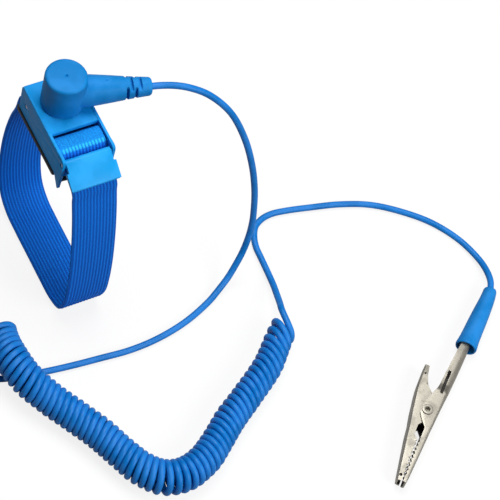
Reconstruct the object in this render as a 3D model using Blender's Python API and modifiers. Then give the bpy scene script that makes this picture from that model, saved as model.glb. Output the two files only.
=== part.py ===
"""Coiled-cord ESD wrist strap, in metres, +Z up.

The band's loop stands on its lower side with the buckle on top. The snap head sits on the buckle's stud,
and its cord falls to the surface, runs into the curly part and ends in a sleeved crocodile clip.
The world origin is on the surface, under the middle of the strap and its snap head.
"""

import math

import bmesh
import bpy
from mathutils import Matrix, Vector

# ---------------------------------------------------------------- driving dimensions
gap = 0.0003                 # between neighbouring pieces

buckle_width = 0.0190
buckle_length = 0.0325
buckle_height = 0.0148       # contact plate's underside to deck
stud_to_back = 0.01035
deck_z = 0.0800
deck_thickness = 0.0018
wall = 0.0010
ear_drop = 0.0044            # how far the front ears reach below the walls

band_thickness = 0.0014
band_front = 0.0384          # band's outer face in front of the stud axis
band_back = 0.0204           # and behind it

base_thickness = 0.0016
base_overhang = 0.0004
base_back_lip = 0.0011
plate_thickness = 0.0005
plate_inset = 0.0008

rivet_radius = 0.0015
flush_head_radius = 0.0029
stud_radius = 0.0034
stud_height = 0.0044
pin_radius = 0.0007
anchor_radius = 0.0009

lever_length = 0.0096
lever_thickness = 0.0018
lever_width = 0.0178
lever_slope = math.radians(32)
barrel_radius = 0.0014

cap_radius = 0.0072
cap_height = 0.0150
neck_reach = 0.0295          # stud axis to the end of the neck
neck_angle = math.radians(-15)
neck_root_radius = 0.0052
neck_end_radius = 0.00305
neck_height = 0.0055         # neck's axis above the deck
bore_radius = 0.0016
socket_radius = 0.0053
resistor_length = 0.0063
resistor_radius = 0.00115

cord_radius = 0.0012
coil_radius = 0.0060

clip_width = 0.0080          # across the jaws' cheeks
clip_height = 0.0043         # clip's middle above the surface
clip_sheet = 0.0006
jaw_rivet_radius = 0.0011
sleeve_length = 0.0275
sleeve_mouth_radius = 0.0040
sleeve_end_radius = 0.00235
sleeve_wall = 0.0007

clip_pivot = (0.0853, -0.1116)
clip_angle = math.radians(-140.6)

# ---------------------------------------------------------------- sizes that follow
back_y = stud_to_back
front_y = back_y - buckle_length
inner_half = buckle_width / 2 - wall
band_width = 2 * (inner_half - gap)
plate_z = deck_z - buckle_height
base_z = plate_z + plate_thickness + gap
floor_z = base_z + base_thickness + gap      # underside of the housing's walls
base_half = buckle_width / 2 + base_overhang
half_band = band_thickness / 2

# the stud's axis stands so that the strap and head are centred on the origin
neck_tip_x = neck_reach * math.cos(neck_angle) - neck_end_radius * math.sin(neck_angle)
stud_x = (base_half - neck_tip_x) / 2
stud_y = (band_front - band_back) / 2

# clamp, seen from the side: y forward of the stud is negative
barrel_y = front_y + 0.00085
barrel_z = deck_z - 0.0032
bridge_front_y = barrel_y + barrel_radius + 2 * gap + band_thickness + 0.0003
bridge_back_y = bridge_front_y + 0.0047
bridge_top = deck_z - 0.0030
slot_back_y = bridge_back_y + band_thickness + 3 * gap
bar_y = front_y + 0.00115
bar_z = deck_z - 0.0080
bar_radius = 0.0013
anchor_y = back_y - 0.00435
anchor_z = deck_z - 0.0068
block_front_y, block_back_y = -0.0032, 0.0027


# ---------------------------------------------------------------- scene and materials
for left_over in list(bpy.data.objects):
    bpy.data.objects.remove(left_over, do_unlink=True)


def new_collection(name):
    made = bpy.data.collections.new(name)
    bpy.context.scene.collection.children.link(made)
    return made


part = new_collection("esd_wrist_strap")
helpers = new_collection("cutters")


def new_material(name, colour, roughness, metallic=0.0):
    made = bpy.data.materials.new(name)
    made.use_nodes = True
    shader = made.node_tree.nodes["Principled BSDF"]
    shader.inputs["Base Color"].default_value = (*colour, 1)
    shader.inputs["Roughness"].default_value = roughness
    shader.inputs["Metallic"].default_value = metallic
    made.diffuse_color = (*colour, 1)
    return made


blue_plastic = new_material("blue_plastic", (0.03, 0.23, 0.75), 0.42)
blue_soft = new_material("blue_soft_plastic", (0.02, 0.19, 0.70), 0.38)
blue_webbing = new_material("blue_webbing", (0.01, 0.11, 0.55), 0.85)
black_plastic = new_material("black_plastic", (0.015, 0.015, 0.018), 0.5)
nickel = new_material("nickel", (0.72, 0.69, 0.63), 0.25, 1.0)
steel = new_material("steel", (0.62, 0.62, 0.62), 0.3, 1.0)
copper = new_material("tinned_copper", (0.75, 0.62, 0.5), 0.35, 1.0)
beige_resin = new_material("beige_resin", (0.66, 0.52, 0.34), 0.45)


# ---------------------------------------------------------------- modelling helpers
def new_empty(name, location, turn=0.0):
    """A frame that pieces hang from, turned about +Z."""
    made = bpy.data.objects.new(name, None)
    made.location = location
    made.rotation_euler = (0, 0, turn)
    made.empty_display_size = 0.005
    part.objects.link(made)
    return made


def new_object(name, data, parent, material=None, location=(0, 0, 0), rotation=(0, 0, 0)):
    """A piece of the part, or a helper where it has no material."""
    made = bpy.data.objects.new(name, data)
    made.location = location
    made.rotation_euler = rotation
    made.parent = parent
    if material:
        data.materials.append(material)
        part.objects.link(made)
    else:
        made.hide_render = True
        made.display_type = "WIRE"
        helpers.objects.link(made)
    return made


def smooth_mesh(mesh, angle=35):
    mesh.shade_smooth()
    mesh.set_sharp_from_angle(angle=math.radians(angle))


def box_mesh(low, high):
    """A box between two corners."""
    mesh = bpy.data.meshes.new("box")
    shape = bmesh.new()
    bmesh.ops.create_cube(shape, size=1)
    size = Vector(high) - Vector(low)
    middle = (Vector(high) + Vector(low)) / 2
    bmesh.ops.transform(
        shape, matrix=Matrix.Translation(middle) @ Matrix.Diagonal((*size, 1)), verts=shape.verts
    )
    shape.to_mesh(mesh)
    shape.free()
    return mesh


def cylinder_mesh(radius, start, end, sides=32):
    """A cylinder between the centres of its two ends."""
    start, end = Vector(start), Vector(end)
    mesh = bpy.data.meshes.new("cylinder")
    shape = bmesh.new()
    bmesh.ops.create_cone(
        shape, cap_ends=True, segments=sides, radius1=radius, radius2=radius,
        depth=(end - start).length,
    )
    turn = (end - start).to_track_quat("Z", "Y").to_matrix().to_4x4()
    bmesh.ops.transform(
        shape, matrix=Matrix.Translation((start + end) / 2) @ turn, verts=shape.verts
    )
    shape.to_mesh(mesh)
    shape.free()
    smooth_mesh(mesh)
    return mesh


def turned_mesh(profile, sides=32):
    """A closed profile of (radius, height) points turned about +Z. A radius of 0 closes it on the axis."""
    mesh = bpy.data.meshes.new("turned")
    shape = bmesh.new()
    rings = []
    for radius, height in profile:
        count = 1 if radius == 0 else sides
        rings.append([
            shape.verts.new((
                radius * math.cos(2 * math.pi * i / sides),
                radius * math.sin(2 * math.pi * i / sides),
                height,
            ))
            for i in range(count)
        ])
    on_axis = profile[0][0] == 0
    pairs = list(zip(rings, rings[1:]))
    if not on_axis:
        pairs.append((rings[-1], rings[0]))
    for upper, lower in pairs:
        for i in range(sides):
            corners = [
                upper[i % len(upper)], upper[(i + 1) % len(upper)],
                lower[(i + 1) % len(lower)], lower[i % len(lower)],
            ]
            shape.faces.new(list(dict.fromkeys(corners)))
    bmesh.ops.recalc_face_normals(shape, faces=shape.faces)
    shape.to_mesh(mesh)
    shape.free()
    smooth_mesh(mesh)
    return mesh


def rounded(corners, steps=3):
    """An outline whose (x, y, radius) corners become arcs."""
    points = []
    for index, (x, y, radius) in enumerate(corners):
        here = Vector((x, y))
        before = Vector(corners[index - 1][:2]) - here
        after = Vector(corners[(index + 1) % len(corners)][:2]) - here
        half = before.angle(after) / 2
        reach = min(radius / math.tan(half), 0.49 * min(before.length, after.length))
        if reach < 1e-6:
            points.append(here)
            continue
        start, end = here + reach * before.normalized(), here + reach * after.normalized()
        for step in range(steps + 1):
            t = step / steps
            points.append((1 - t) ** 2 * start + 2 * t * (1 - t) * here + t ** 2 * end)
    return points


def as_mesh(curve_object):
    """The mesh of a curve, with its caps welded, in place of the curve."""
    bpy.context.view_layer.update()
    graph = bpy.context.evaluated_depsgraph_get()
    mesh = bpy.data.meshes.new_from_object(curve_object.evaluated_get(graph))
    shape = bmesh.new()
    shape.from_mesh(mesh)
    bmesh.ops.remove_doubles(shape, verts=shape.verts, dist=1e-6)
    bmesh.ops.recalc_face_normals(shape, faces=shape.faces)
    shape.to_mesh(mesh)
    shape.free()
    bpy.data.objects.remove(curve_object, do_unlink=True)
    return mesh


def flat_mesh(outline, thickness):
    """A flat outline in the XY plane, thickened evenly about that plane."""
    curve = bpy.data.curves.new("outline", "CURVE")
    curve.dimensions = "2D"
    curve.fill_mode = "BOTH"
    curve.extrude = thickness / 2
    spline = curve.splines.new("POLY")
    spline.points.add(len(outline) - 1)
    for point, (x, y) in zip(spline.points, outline):
        point.co = (x, y, 0, 1)
    spline.use_cyclic_u = True
    drawn = bpy.data.objects.new("outline", curve)
    helpers.objects.link(drawn)
    return as_mesh(drawn)


# side views are drawn as (y, z) and stand across the buckle
side_view = (math.pi / 2, 0, math.pi / 2)


def cut(target, mesh, rotation=(0, 0, 0), location=(0, 0, 0), operation="DIFFERENCE"):
    """Cuts a mesh from a piece that has the same parent, or joins it on."""
    helper = new_object(target.name + "_" + operation.lower(), mesh, target.parent,
                        location=location, rotation=rotation)
    modifier = target.modifiers.new(helper.name, "BOOLEAN")
    modifier.object = helper
    modifier.operation = operation
    return helper


def join(target, mesh, rotation=(0, 0, 0), location=(0, 0, 0)):
    return cut(target, mesh, rotation, location, "UNION")


def soften(target, width, segments=2, angle=40):
    bevel = target.modifiers.new("edges", "BEVEL")
    bevel.width = width
    bevel.segments = segments
    bevel.limit_method = "ANGLE"
    bevel.angle_limit = math.radians(angle)


def smooth_route(points, spacing, closed=False):
    """Evenly spaced points on a centripetal curve through the route's own points."""
    points = [Vector(p) for p in points]
    if closed:
        ring = [points[-1], *points, points[0], points[1]]
    else:
        ring = [2 * points[0] - points[1], *points, 2 * points[-1] - points[-2]]
    dense = []
    for p0, p1, p2, p3 in zip(ring, ring[1:], ring[2:], ring[3:]):
        t1 = (p1 - p0).length ** 0.5
        t2 = t1 + (p2 - p1).length ** 0.5
        t3 = t2 + (p3 - p2).length ** 0.5
        for step in range(24):
            t = t1 + (t2 - t1) * step / 24
            a1 = p0.lerp(p1, t / t1)
            a2 = p1.lerp(p2, (t - t1) / (t2 - t1))
            a3 = p2.lerp(p3, (t - t2) / (t3 - t2))
            b1 = a1.lerp(a2, t / t2)
            b2 = a2.lerp(a3, (t - t1) / (t3 - t1))
            dense.append(b1.lerp(b2, (t - t1) / (t2 - t1)))
    dense.append(ring[-2].copy())
    lengths = [0.0]
    for a, b in zip(dense, dense[1:]):
        lengths.append(lengths[-1] + (b - a).length)
    count = max(2, round(lengths[-1] / spacing))
    route, index = [], 0
    for step in range(count + 1):
        wanted = lengths[-1] * step / count
        while index < len(lengths) - 2 and lengths[index + 1] < wanted:
            index += 1
        share = (wanted - lengths[index]) / (lengths[index + 1] - lengths[index])
        route.append(dense[index].lerp(dense[index + 1], min(max(share, 0), 1)))
    return route[:-1] if closed else route


def wire(name, points, radius, parent, material, closed=False):
    """A round wire or cord along its points."""
    curve = bpy.data.curves.new(name, "CURVE")
    curve.dimensions = "3D"
    curve.bevel_depth = radius
    curve.bevel_resolution = 2
    curve.use_fill_caps = not closed
    spline = curve.splines.new("POLY")
    spline.points.add(len(points) - 1)
    for point, place in zip(spline.points, points):
        point.co = (*place, 1)
    spline.use_cyclic_u = closed
    spline.use_smooth = True
    return new_object(name, curve, parent, material)


# ---------------------------------------------------------------- frames
strap_frame = new_empty("strap_frame", (stud_x, stud_y, 0))
lever_frame = new_empty("lever_frame", (0, barrel_y, barrel_z))
lever_frame.parent = strap_frame
head_frame = new_empty("head_frame", (stud_x, stud_y, deck_z), neck_angle)
clip_frame = new_empty("clip_frame", (*clip_pivot, clip_height), clip_angle)


# ---------------------------------------------------------------- buckle housing
# Two side walls with pointed front ears carry the deck, the band's bridge, the clamp's bar,
# the block round the rivet and the back wall, which has the slot for the band's fixed end.
def build_housing():
    side = rounded([
        (back_y, deck_z, 0.0014),
        (front_y - gap, deck_z, 0.0018),
        (front_y - gap, deck_z - 0.0055, 0.002),
        (front_y + 0.0008, floor_z - ear_drop, 0.0006),
        (front_y + 0.0042, floor_z, 0.001),
        (back_y, floor_z, 0.0006),
    ])
    x = buckle_width / 2 - wall / 2
    housing = new_object("buckle_housing", flat_mesh(side, wall), strap_frame, blue_plastic,
                         (-x, 0, 0), side_view)
    join(housing, flat_mesh(side, wall), side_view, (x, 0, 0))

    across = inner_half + wall / 2       # cross members reach half-way into the walls
    bridge = rounded([
        (bridge_front_y, bridge_top, 0.0013),
        (bridge_back_y, bridge_top, 0.0009),
        (bridge_back_y, bridge_top - 0.0020, 0.0004),
        (bridge_front_y, bridge_top - 0.0020, 0.0004),
    ])
    slot_low, slot_high = anchor_z - 0.0036, anchor_z - 0.0007
    for low, high in (
        ((-across, slot_back_y, deck_z - deck_thickness), (across, back_y - wall, deck_z - 0.00005)),
        ((-across, block_front_y, floor_z + 0.00005), (across, block_back_y, deck_z - wall)),
        ((-across, back_y - 1.5 * wall, slot_high), (across, back_y - 0.0002, deck_z - 0.0004)),
        ((-across, back_y - 1.5 * wall, floor_z + 0.00005), (across, back_y - 0.0002, slot_low)),
    ):
        join(housing, box_mesh(low, high))
    join(housing, flat_mesh(bridge, 2 * across), side_view)
    join(housing, cylinder_mesh(bar_radius, (-across, bar_y, bar_z), (across, bar_y, bar_z), 24))

    cut(housing, cylinder_mesh(rivet_radius + gap, (0, 0, floor_z - 0.001), (0, 0, deck_z + 0.001)))
    for y, z, radius in (
        (barrel_y, barrel_z, pin_radius), (anchor_y, anchor_z, anchor_radius),
    ):
        reach = buckle_width
        cut(housing, cylinder_mesh(radius + gap, (-reach, y, z), (reach, y, z), 20))


build_housing()


# ---------------------------------------------------------------- base, contact plate, rivet and stud
def build_base():
    ear_start = front_y + 0.0042 + gap
    base_top = base_z + base_thickness
    base = new_object(
        "base_pad",
        box_mesh((-base_half, ear_start, base_z), (base_half, back_y + base_back_lip, base_top)),
        strap_frame, black_plastic,
    )
    soften(base, 0.0005)
    tongue_half = inner_half - gap
    join(base, box_mesh((-tongue_half, front_y + 0.0012, base_z), (tongue_half, 0, base_top)))
    cut(base, cylinder_mesh(rivet_radius + gap, (0, 0, plate_z), (0, 0, floor_z)))

    inset = plate_inset
    corners = rounded([
        (inner_half - inset, front_y + 0.0015, 0.002),
        (inner_half - inset, back_y - inset, 0.002),
        (-inner_half + inset, back_y - inset, 0.002),
        (-inner_half + inset, front_y + 0.0015, 0.002),
    ])
    plate = new_object("contact_plate", flat_mesh(corners, plate_thickness), strap_frame, steel,
                       (0, 0, plate_z + plate_thickness / 2))
    hole = flush_head_radius + gap
    cut(plate, cylinder_mesh(hole, (0, 0, plate_z - 0.001), (0, 0, base_z)))


def build_rivet_and_stud():
    head_bottom = plate_z + 0.00005
    top = deck_z + gap + 0.0020
    rivet = [
        (0, top), (rivet_radius - 0.0002, top), (rivet_radius, top - 0.0003),
        (rivet_radius, plate_z + plate_thickness), (flush_head_radius, plate_z + 0.00015),
        (flush_head_radius, head_bottom), (0, head_bottom),
    ]
    new_object("stud_rivet", turned_mesh(rivet), strap_frame, steel)

    low = deck_z + gap
    high = deck_z + stud_height
    hole = rivet_radius + gap
    stud = [
        (0, high), (stud_radius - 0.0008, high), (stud_radius, high - 0.0008), (stud_radius, high - 0.0016),
        (stud_radius - 0.0006, high - 0.0024), (stud_radius - 0.0006, low + 0.0006),
        (stud_radius + 0.0013, low + 0.0004), (stud_radius + 0.0013, low), (hole, low),
        (hole, top + gap), (0, top + gap),
    ]
    new_object("snap_stud", turned_mesh(stud), strap_frame, nickel)


build_base()
build_rivet_and_stud()


# ---------------------------------------------------------------- pins across the buckle
def build_pins():
    reach = buckle_width / 2 - 0.0002
    for name, y, z, radius in (
        ("lever_pin", barrel_y, barrel_z, pin_radius),
        ("band_anchor_pin", anchor_y, anchor_z, anchor_radius),
    ):
        new_object(name, cylinder_mesh(radius, (-reach, y, z), (reach, y, z), 20), strap_frame, steel)


build_pins()


# ---------------------------------------------------------------- clamp lever
# A barrel on its pin, an arm that fits between the walls, a wider thumb flap,
# and a rib underneath that presses the band.
def build_lever():
    drop = math.sin(lever_slope)
    run = math.cos(lever_slope)

    def along(distance, depth):
        """A point on the flap, by its distance from the barrel and its depth under the top face."""
        return (
            -distance * run - depth * drop,
            barrel_radius * run - distance * drop - depth * run + 0.00015,
        )

    arm_end = 0.0045
    flap_start = 0.0033
    arm = rounded([
        (*along(-0.0003, 0.0001), 0.0004), (*along(arm_end, 0), 0.0001),
        (*along(arm_end, lever_thickness - 0.0001), 0.0001),
        (*along(0.0004, lever_thickness - 0.0001), 0.0001),
    ])
    flap = rounded([
        (*along(flap_start, 0), 0.0003), (*along(lever_length, 0.0002), 0.0007),
        (*along(lever_length, lever_thickness - 0.0003), 0.0004),
        (*along(flap_start, lever_thickness), 0.0004),
    ])
    inner = 2 * (inner_half - gap)
    lever = new_object(
        "clamp_lever",
        cylinder_mesh(barrel_radius, (-inner / 2, 0, 0), (inner / 2, 0, 0), 28),
        lever_frame, blue_plastic,
    )
    join(lever, flat_mesh(arm, inner - 0.0001), side_view)
    join(lever, flat_mesh(flap, lever_width), side_view)
    cut(lever, cylinder_mesh(pin_radius + gap, (-0.02, 0, 0), (0.02, 0, 0), 20))


build_lever()


# ---------------------------------------------------------------- elastic band
# The band's middle line, as (y, z), from its fold round the anchor pin, down the back, along the
# surface, up the front, under the lever, over the bridge and into the slot, where its end is tucked.
def build_band():
    wrap = anchor_radius + gap + half_band
    fold = [
        (anchor_y + wrap * math.cos(a), anchor_z + wrap * math.sin(a))
        for a in (math.radians(d) for d in (48, 90, 135, 180, 225, 270))
    ]
    front, back = -band_front + half_band, band_back - half_band
    low = half_band + 0.00007      # the curve dips this much between its points
    over = barrel_radius + gap + half_band + 0.0001
    window_z = bridge_top + gap + half_band
    route = [
        (anchor_y + 0.0019, anchor_z + 0.0011), *fold[1:],
        (back_y - 0.0020, anchor_z - 0.0021), (back_y + 0.0002, anchor_z - 0.0023),
        (back_y + 0.0022, anchor_z - 0.0038), (back_y + 0.0031, anchor_z - 0.0066),
        (back_y + 0.0040, 0.0610), (back - 0.0028, 0.0520), (back - 0.0006, 0.0390), (back, 0.0260),
        (back - 0.0012, 0.0135), (back - 0.0048, 0.0051), (back - 0.0108, low + 0.0007),
        (0.0010, low), (-0.0090, low), (-0.0190, low),
        (front + 0.0098, low + 0.0004), (front + 0.0034, 0.0042), (front + 0.0005, 0.0115),
        (front, 0.0200), (front + 0.0008, 0.0327), (front + 0.0031, 0.0473), (front + 0.0058, 0.0590),
        (barrel_y - 0.0085, barrel_z - 0.0105),
        (barrel_y - 0.0080, barrel_z - 0.0078), (barrel_y - 0.0061, barrel_z - 0.0057),
        (barrel_y - 0.0032, barrel_z - 0.0038),
        (barrel_y - 0.0008, barrel_z - 1.08 * over),
        (barrel_y + 0.58 * over, barrel_z - 0.86 * over), (barrel_y + over, barrel_z - 0.25 * over),
        (bridge_front_y - 0.0003, window_z - 0.0006), (bridge_front_y + 0.0012, window_z),
        (bridge_back_y - 0.0010, window_z), (bridge_back_y + 0.0004, window_z - 0.0004),
        (bridge_back_y + 0.0011, window_z - 0.0016), (bridge_back_y + 0.0014, window_z - 0.0032),
        (bridge_back_y + 0.0026, window_z - 0.0047), (bridge_back_y + 0.0046, window_z - 0.0051),
        (block_front_y - 0.0009, window_z - 0.0051),
    ]
    line = [(p.x, p.y) for p in smooth_route([(y, z, 0) for y, z in route], 0.0009)]
    curve = bpy.data.curves.new("band_line", "CURVE")
    curve.dimensions = "2D"
    curve.fill_mode = "NONE"
    curve.extrude = band_width / 2
    spline = curve.splines.new("POLY")
    spline.points.add(len(line) - 1)
    for point, (y, z) in zip(spline.points, line):
        point.co = (y, z, 0, 1)
    drawn = bpy.data.objects.new("band_line", curve)
    helpers.objects.link(drawn)
    ribbon = as_mesh(drawn)
    ribbon.shade_smooth()
    band = new_object("elastic_band", ribbon, strap_frame, blue_webbing, (0, 0, 0), side_view)
    thicken = band.modifiers.new("thickness", "SOLIDIFY")
    thicken.thickness = band_thickness
    thicken.offset = 0
    thicken.use_even_offset = True


build_band()


# ---------------------------------------------------------------- snap head
# A moulded cap with a tapered neck. Slots in its sides and, between them, in its top and underside
# make the neck's end flexible.
# It is hollow from below for the socket, and bored along the neck for the resistor and cord.
def build_head():
    round_over = 0.0011
    bottom = 0.0004
    cap = [(0, cap_height)]
    for step in range(5):
        angle = math.pi / 2 * (1 - step / 4)
        cap.append((
            cap_radius - round_over + round_over * math.cos(angle),
            cap_height - round_over + round_over * math.sin(angle),
        ))
    cap += [(cap_radius, bottom + 0.0003), (cap_radius - 0.0003, bottom), (0, bottom)]
    head = new_object("snap_head", turned_mesh(cap, 48), head_frame, blue_soft)

    start = 0.0030
    neck = [(0, start)]
    taper = neck_end_radius - neck_root_radius
    bend = 0.0195                      # the taper is steeper past this point
    neck += [
        (neck_root_radius, start), (neck_root_radius + 0.45 * taper, bend),
        (neck_end_radius, neck_reach - 0.0003), (neck_end_radius - 0.0003, neck_reach), (0, neck_reach),
    ]
    along_neck = (0, math.pi / 2, 0)
    join(head, turned_mesh([(r, z) for r, z in reversed(neck)], 40), along_neck, (0, 0, neck_height))

    cavity_top = socket_top + 0.0014
    cut(head, cylinder_mesh(socket_radius + gap, (0, 0, -0.001), (0, 0, cavity_top), 40))
    cut(head, cylinder_mesh(bore_radius, (0, 0, neck_height), (neck_reach + 0.002, 0, neck_height), 24))
    slot_width, slot_step, first_slot = 0.0008, 0.00150, 0.0205
    near, far = bore_radius + 0.0004, 0.0075
    for index in range(4):
        x = first_slot + index * slot_step
        for side in (-1, 1):
            low, high = sorted((side * near, side * far))
            if index % 2 == 0:
                slot = box_mesh((x, low, neck_height - far), (x + slot_width, high, neck_height + far))
            else:
                slot = box_mesh((x, -far, neck_height + low), (x + slot_width, far, neck_height + high))
            cut(head, slot)
    mark_x, mark_y = 0.0006, 0.0009
    mark = cylinder_mesh(
        0.0004, (mark_x, mark_y, cap_height - 0.0004), (mark_x, mark_y, cap_height + 0.001), 12,
    )
    cut(head, mark)


socket_low, socket_top = 0.0011, 0.0054
build_head()


def build_socket():
    inside = socket_radius - 0.0005
    socket = [
        (0, socket_top), (socket_radius - 0.0005, socket_top), (socket_radius, socket_top - 0.0005),
        (socket_radius, socket_low), (inside - 0.0004, socket_low), (inside - 0.0004, socket_low + 0.0005),
        (inside, socket_low + 0.0005), (inside, socket_top - 0.0005), (0, socket_top - 0.0005),
    ]
    new_object("snap_socket", turned_mesh(socket, 40), head_frame, nickel)

    ring_radius = inside - 0.0003 - gap
    ring = [
        (ring_radius * math.cos(a), ring_radius * math.sin(a), socket_low + 0.0005 + 0.0003 + gap)
        for a in (math.radians(15 + 330 * i / 44) for i in range(45))
    ]
    wire("socket_spring", ring, 0.0003, head_frame, steel)


def build_resistor():
    start = 0.0092
    end = start + resistor_length
    belly = resistor_radius - 0.0002
    body = [
        (0, end), (resistor_radius - 0.0003, end), (resistor_radius, end - 0.0004),
        (resistor_radius, end - 0.0012), (belly, end - 0.0018), (belly, start + 0.0018),
        (resistor_radius, start + 0.0012), (resistor_radius, start + 0.0004),
        (resistor_radius - 0.0003, start), (0, start),
    ]
    new_object("resistor_body", turned_mesh(body, 24), head_frame, beige_resin,
               (0, 0, neck_height), (0, math.pi / 2, 0))
    lead_radius = 0.0003
    to_socket = [
        (0.0026, 0, socket_top + gap + lead_radius), (0.0050, 0, socket_top + gap + lead_radius),
        (0.0070, 0, neck_height + 0.0002), (start - gap, 0, neck_height),
    ]
    wire("resistor_lead_socket", smooth_route(to_socket, 0.0007), lead_radius, head_frame, copper)
    ferrule_start = end + 0.0034
    to_cord = [(end + gap, 0, neck_height), (ferrule_start - gap, 0, neck_height)]
    wire("resistor_lead_cord", smooth_route(to_cord, 0.001), lead_radius, head_frame, copper)
    ferrule = [
        (0, ferrule_start + 0.0042), (0.0012, ferrule_start + 0.0042), (0.0012, ferrule_start + 0.0032),
        (0.0009, ferrule_start + 0.0028), (0.0009, ferrule_start + 0.0014),
        (0.0012, ferrule_start + 0.0010), (0.0012, ferrule_start), (0, ferrule_start),
    ]
    new_object("cord_ferrule", turned_mesh(ferrule, 20), head_frame, nickel,
               (0, 0, neck_height), (0, math.pi / 2, 0))


build_socket()
build_resistor()


# ---------------------------------------------------------------- crocodile clip
# The clip lies on its side, so the rivet is upright. Its frame has +X towards the jaws' tips.
# Each jaw is one sheet bent to a U, given by stations along it: distance, height of the cheek above
# the middle, the spine's place across, the cheeks' free edge, and the bend's radius.
def bent_sheet(stations, thickness, inward, bend_steps=4):
    """An open sheet bent round the spine at each station, with a Solidify that goes inward."""
    mesh = bpy.data.meshes.new("sheet")
    shape = bmesh.new()
    rows = []
    for x, half, spine, edge, radius in stations:
        side = 1 if spine > edge else -1
        section = [(edge, -half)]
        for step in range(bend_steps + 1):
            a = math.pi / 2 * step / bend_steps
            section.append((
                spine - side * radius * (1 - math.sin(a)), -half + radius * (1 - math.cos(a)),
            ))
        section += [(y, -z) for y, z in reversed(section)]
        rows.append([shape.verts.new((x, y, z)) for y, z in section])
    for first, second in zip(rows, rows[1:]):
        for i in range(len(first) - 1):
            shape.faces.new((first[i], first[i + 1], second[i + 1], second[i]))
    bmesh.ops.recalc_face_normals(shape, faces=shape.faces)
    shape.normal_update()
    middle = Vector((0, sum(s[3] for s in stations) / len(stations), 0))
    lean = sum((f.normal.dot(f.calc_center_median() - middle)) * f.calc_area() for f in shape.faces)
    if (lean > 0) != inward:
        bmesh.ops.reverse_faces(shape, faces=shape.faces)
    shape.to_mesh(mesh)
    shape.free()
    return mesh


def toothed(stations, first, last, teeth, depth):
    """Adds stations between two distances, whose edges step in and out as teeth."""
    start = next(s for s in stations if s[0] >= first)
    end = [s for s in stations if s[0] <= last][-1]
    row = []
    for index in range(2 * teeth + 1):
        t = index / (2 * teeth)
        mixed = [a + (b - a) * t for a, b in zip(start, end)]
        mixed[3] += depth * (1 if index % 2 else -1) / 2
        row.append(tuple(mixed))
    before = [s for s in stations if s[0] < start[0]]
    after = [s for s in stations if s[0] > end[0]]
    return before + row + after


def build_jaws():
    half = clip_width / 2
    inner = half - clip_sheet - gap
    fixed = toothed([
        (-0.0385, 0.0015, 0.0044, 0.0022, 0.0014),
        (-0.0335, 0.0019, 0.0046, 0.0015, 0.0018),
        (-0.0290, 0.0022, 0.0048, 0.0010, 0.0021),
        (-0.0200, 0.0023, 0.0048, 0.0006, 0.0021),
        (-0.0132, 0.0026, 0.0047, 0.0004, 0.0020),
        (-0.0098, half, 0.0046, 0.0000, 0.0014),
        (-0.0055, half, 0.0044, -0.0012, 0.0011),
        (-0.0020, half, 0.0043, -0.0020, 0.0009),
        (0.0020, half, 0.0042, -0.0020, 0.0009),
        (0.0045, half, 0.0042, -0.0004, 0.0009),
        (0.0070, half, 0.0041, 0.0017, 0.0009),
        (0.0120, half - 0.0002, 0.0041, 0.0019, 0.0009),
        (0.0270, 0.0028, 0.0040, 0.0025, 0.0008),
        (0.0292, 0.0024, 0.0038, 0.0026, 0.0006),
    ], 0.0120, 0.0270, 9, 0.0006)
    jaw = new_object("fixed_jaw", bent_sheet(fixed, clip_sheet, True), clip_frame, nickel)
    thick = jaw.modifiers.new("sheet", "SOLIDIFY")
    thick.thickness = clip_sheet
    thick.offset = -1
    cut(jaw, cylinder_mesh(jaw_rivet_radius + gap, (0, 0, -0.01), (0, 0, 0.01), 20))

    moving = toothed([
        (-0.0176, 0.0026, -0.0072, -0.0056, 0.0006),
        (-0.0135, inner, -0.0070, -0.0048, 0.0008),
        (-0.0100, inner, -0.0068, -0.0034, 0.0008),
        (-0.0078, inner, -0.0066, -0.0012, 0.0008),
        (-0.0050, inner, -0.0062, 0.0010, 0.0008),
        (-0.0018, inner, -0.0056, 0.0021, 0.0008),
        (0.0018, inner, -0.0050, 0.0021, 0.0008),
        (0.0045, inner, -0.0044, 0.0006, 0.0008),
        (0.0066, inner, -0.0039, -0.0008, 0.0008),
        (0.0105, inner, -0.0033, -0.0006, 0.0008),
        (0.0122, inner, -0.0030, 0.0010, 0.0008),
        (0.0270, 0.0024, -0.0001, 0.0019, 0.0006),
        (0.0292, 0.0021, 0.0004, 0.0020, 0.0005),
    ], 0.0122, 0.0270, 9, 0.0006)
    lever_jaw = new_object("moving_jaw", bent_sheet(moving, clip_sheet, True), clip_frame, nickel)
    thick = lever_jaw.modifiers.new("sheet", "SOLIDIFY")
    thick.thickness = clip_sheet
    thick.offset = -1
    cut(lever_jaw, cylinder_mesh(jaw_rivet_radius + gap, (0, 0, -0.01), (0, 0, 0.01), 20))


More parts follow.
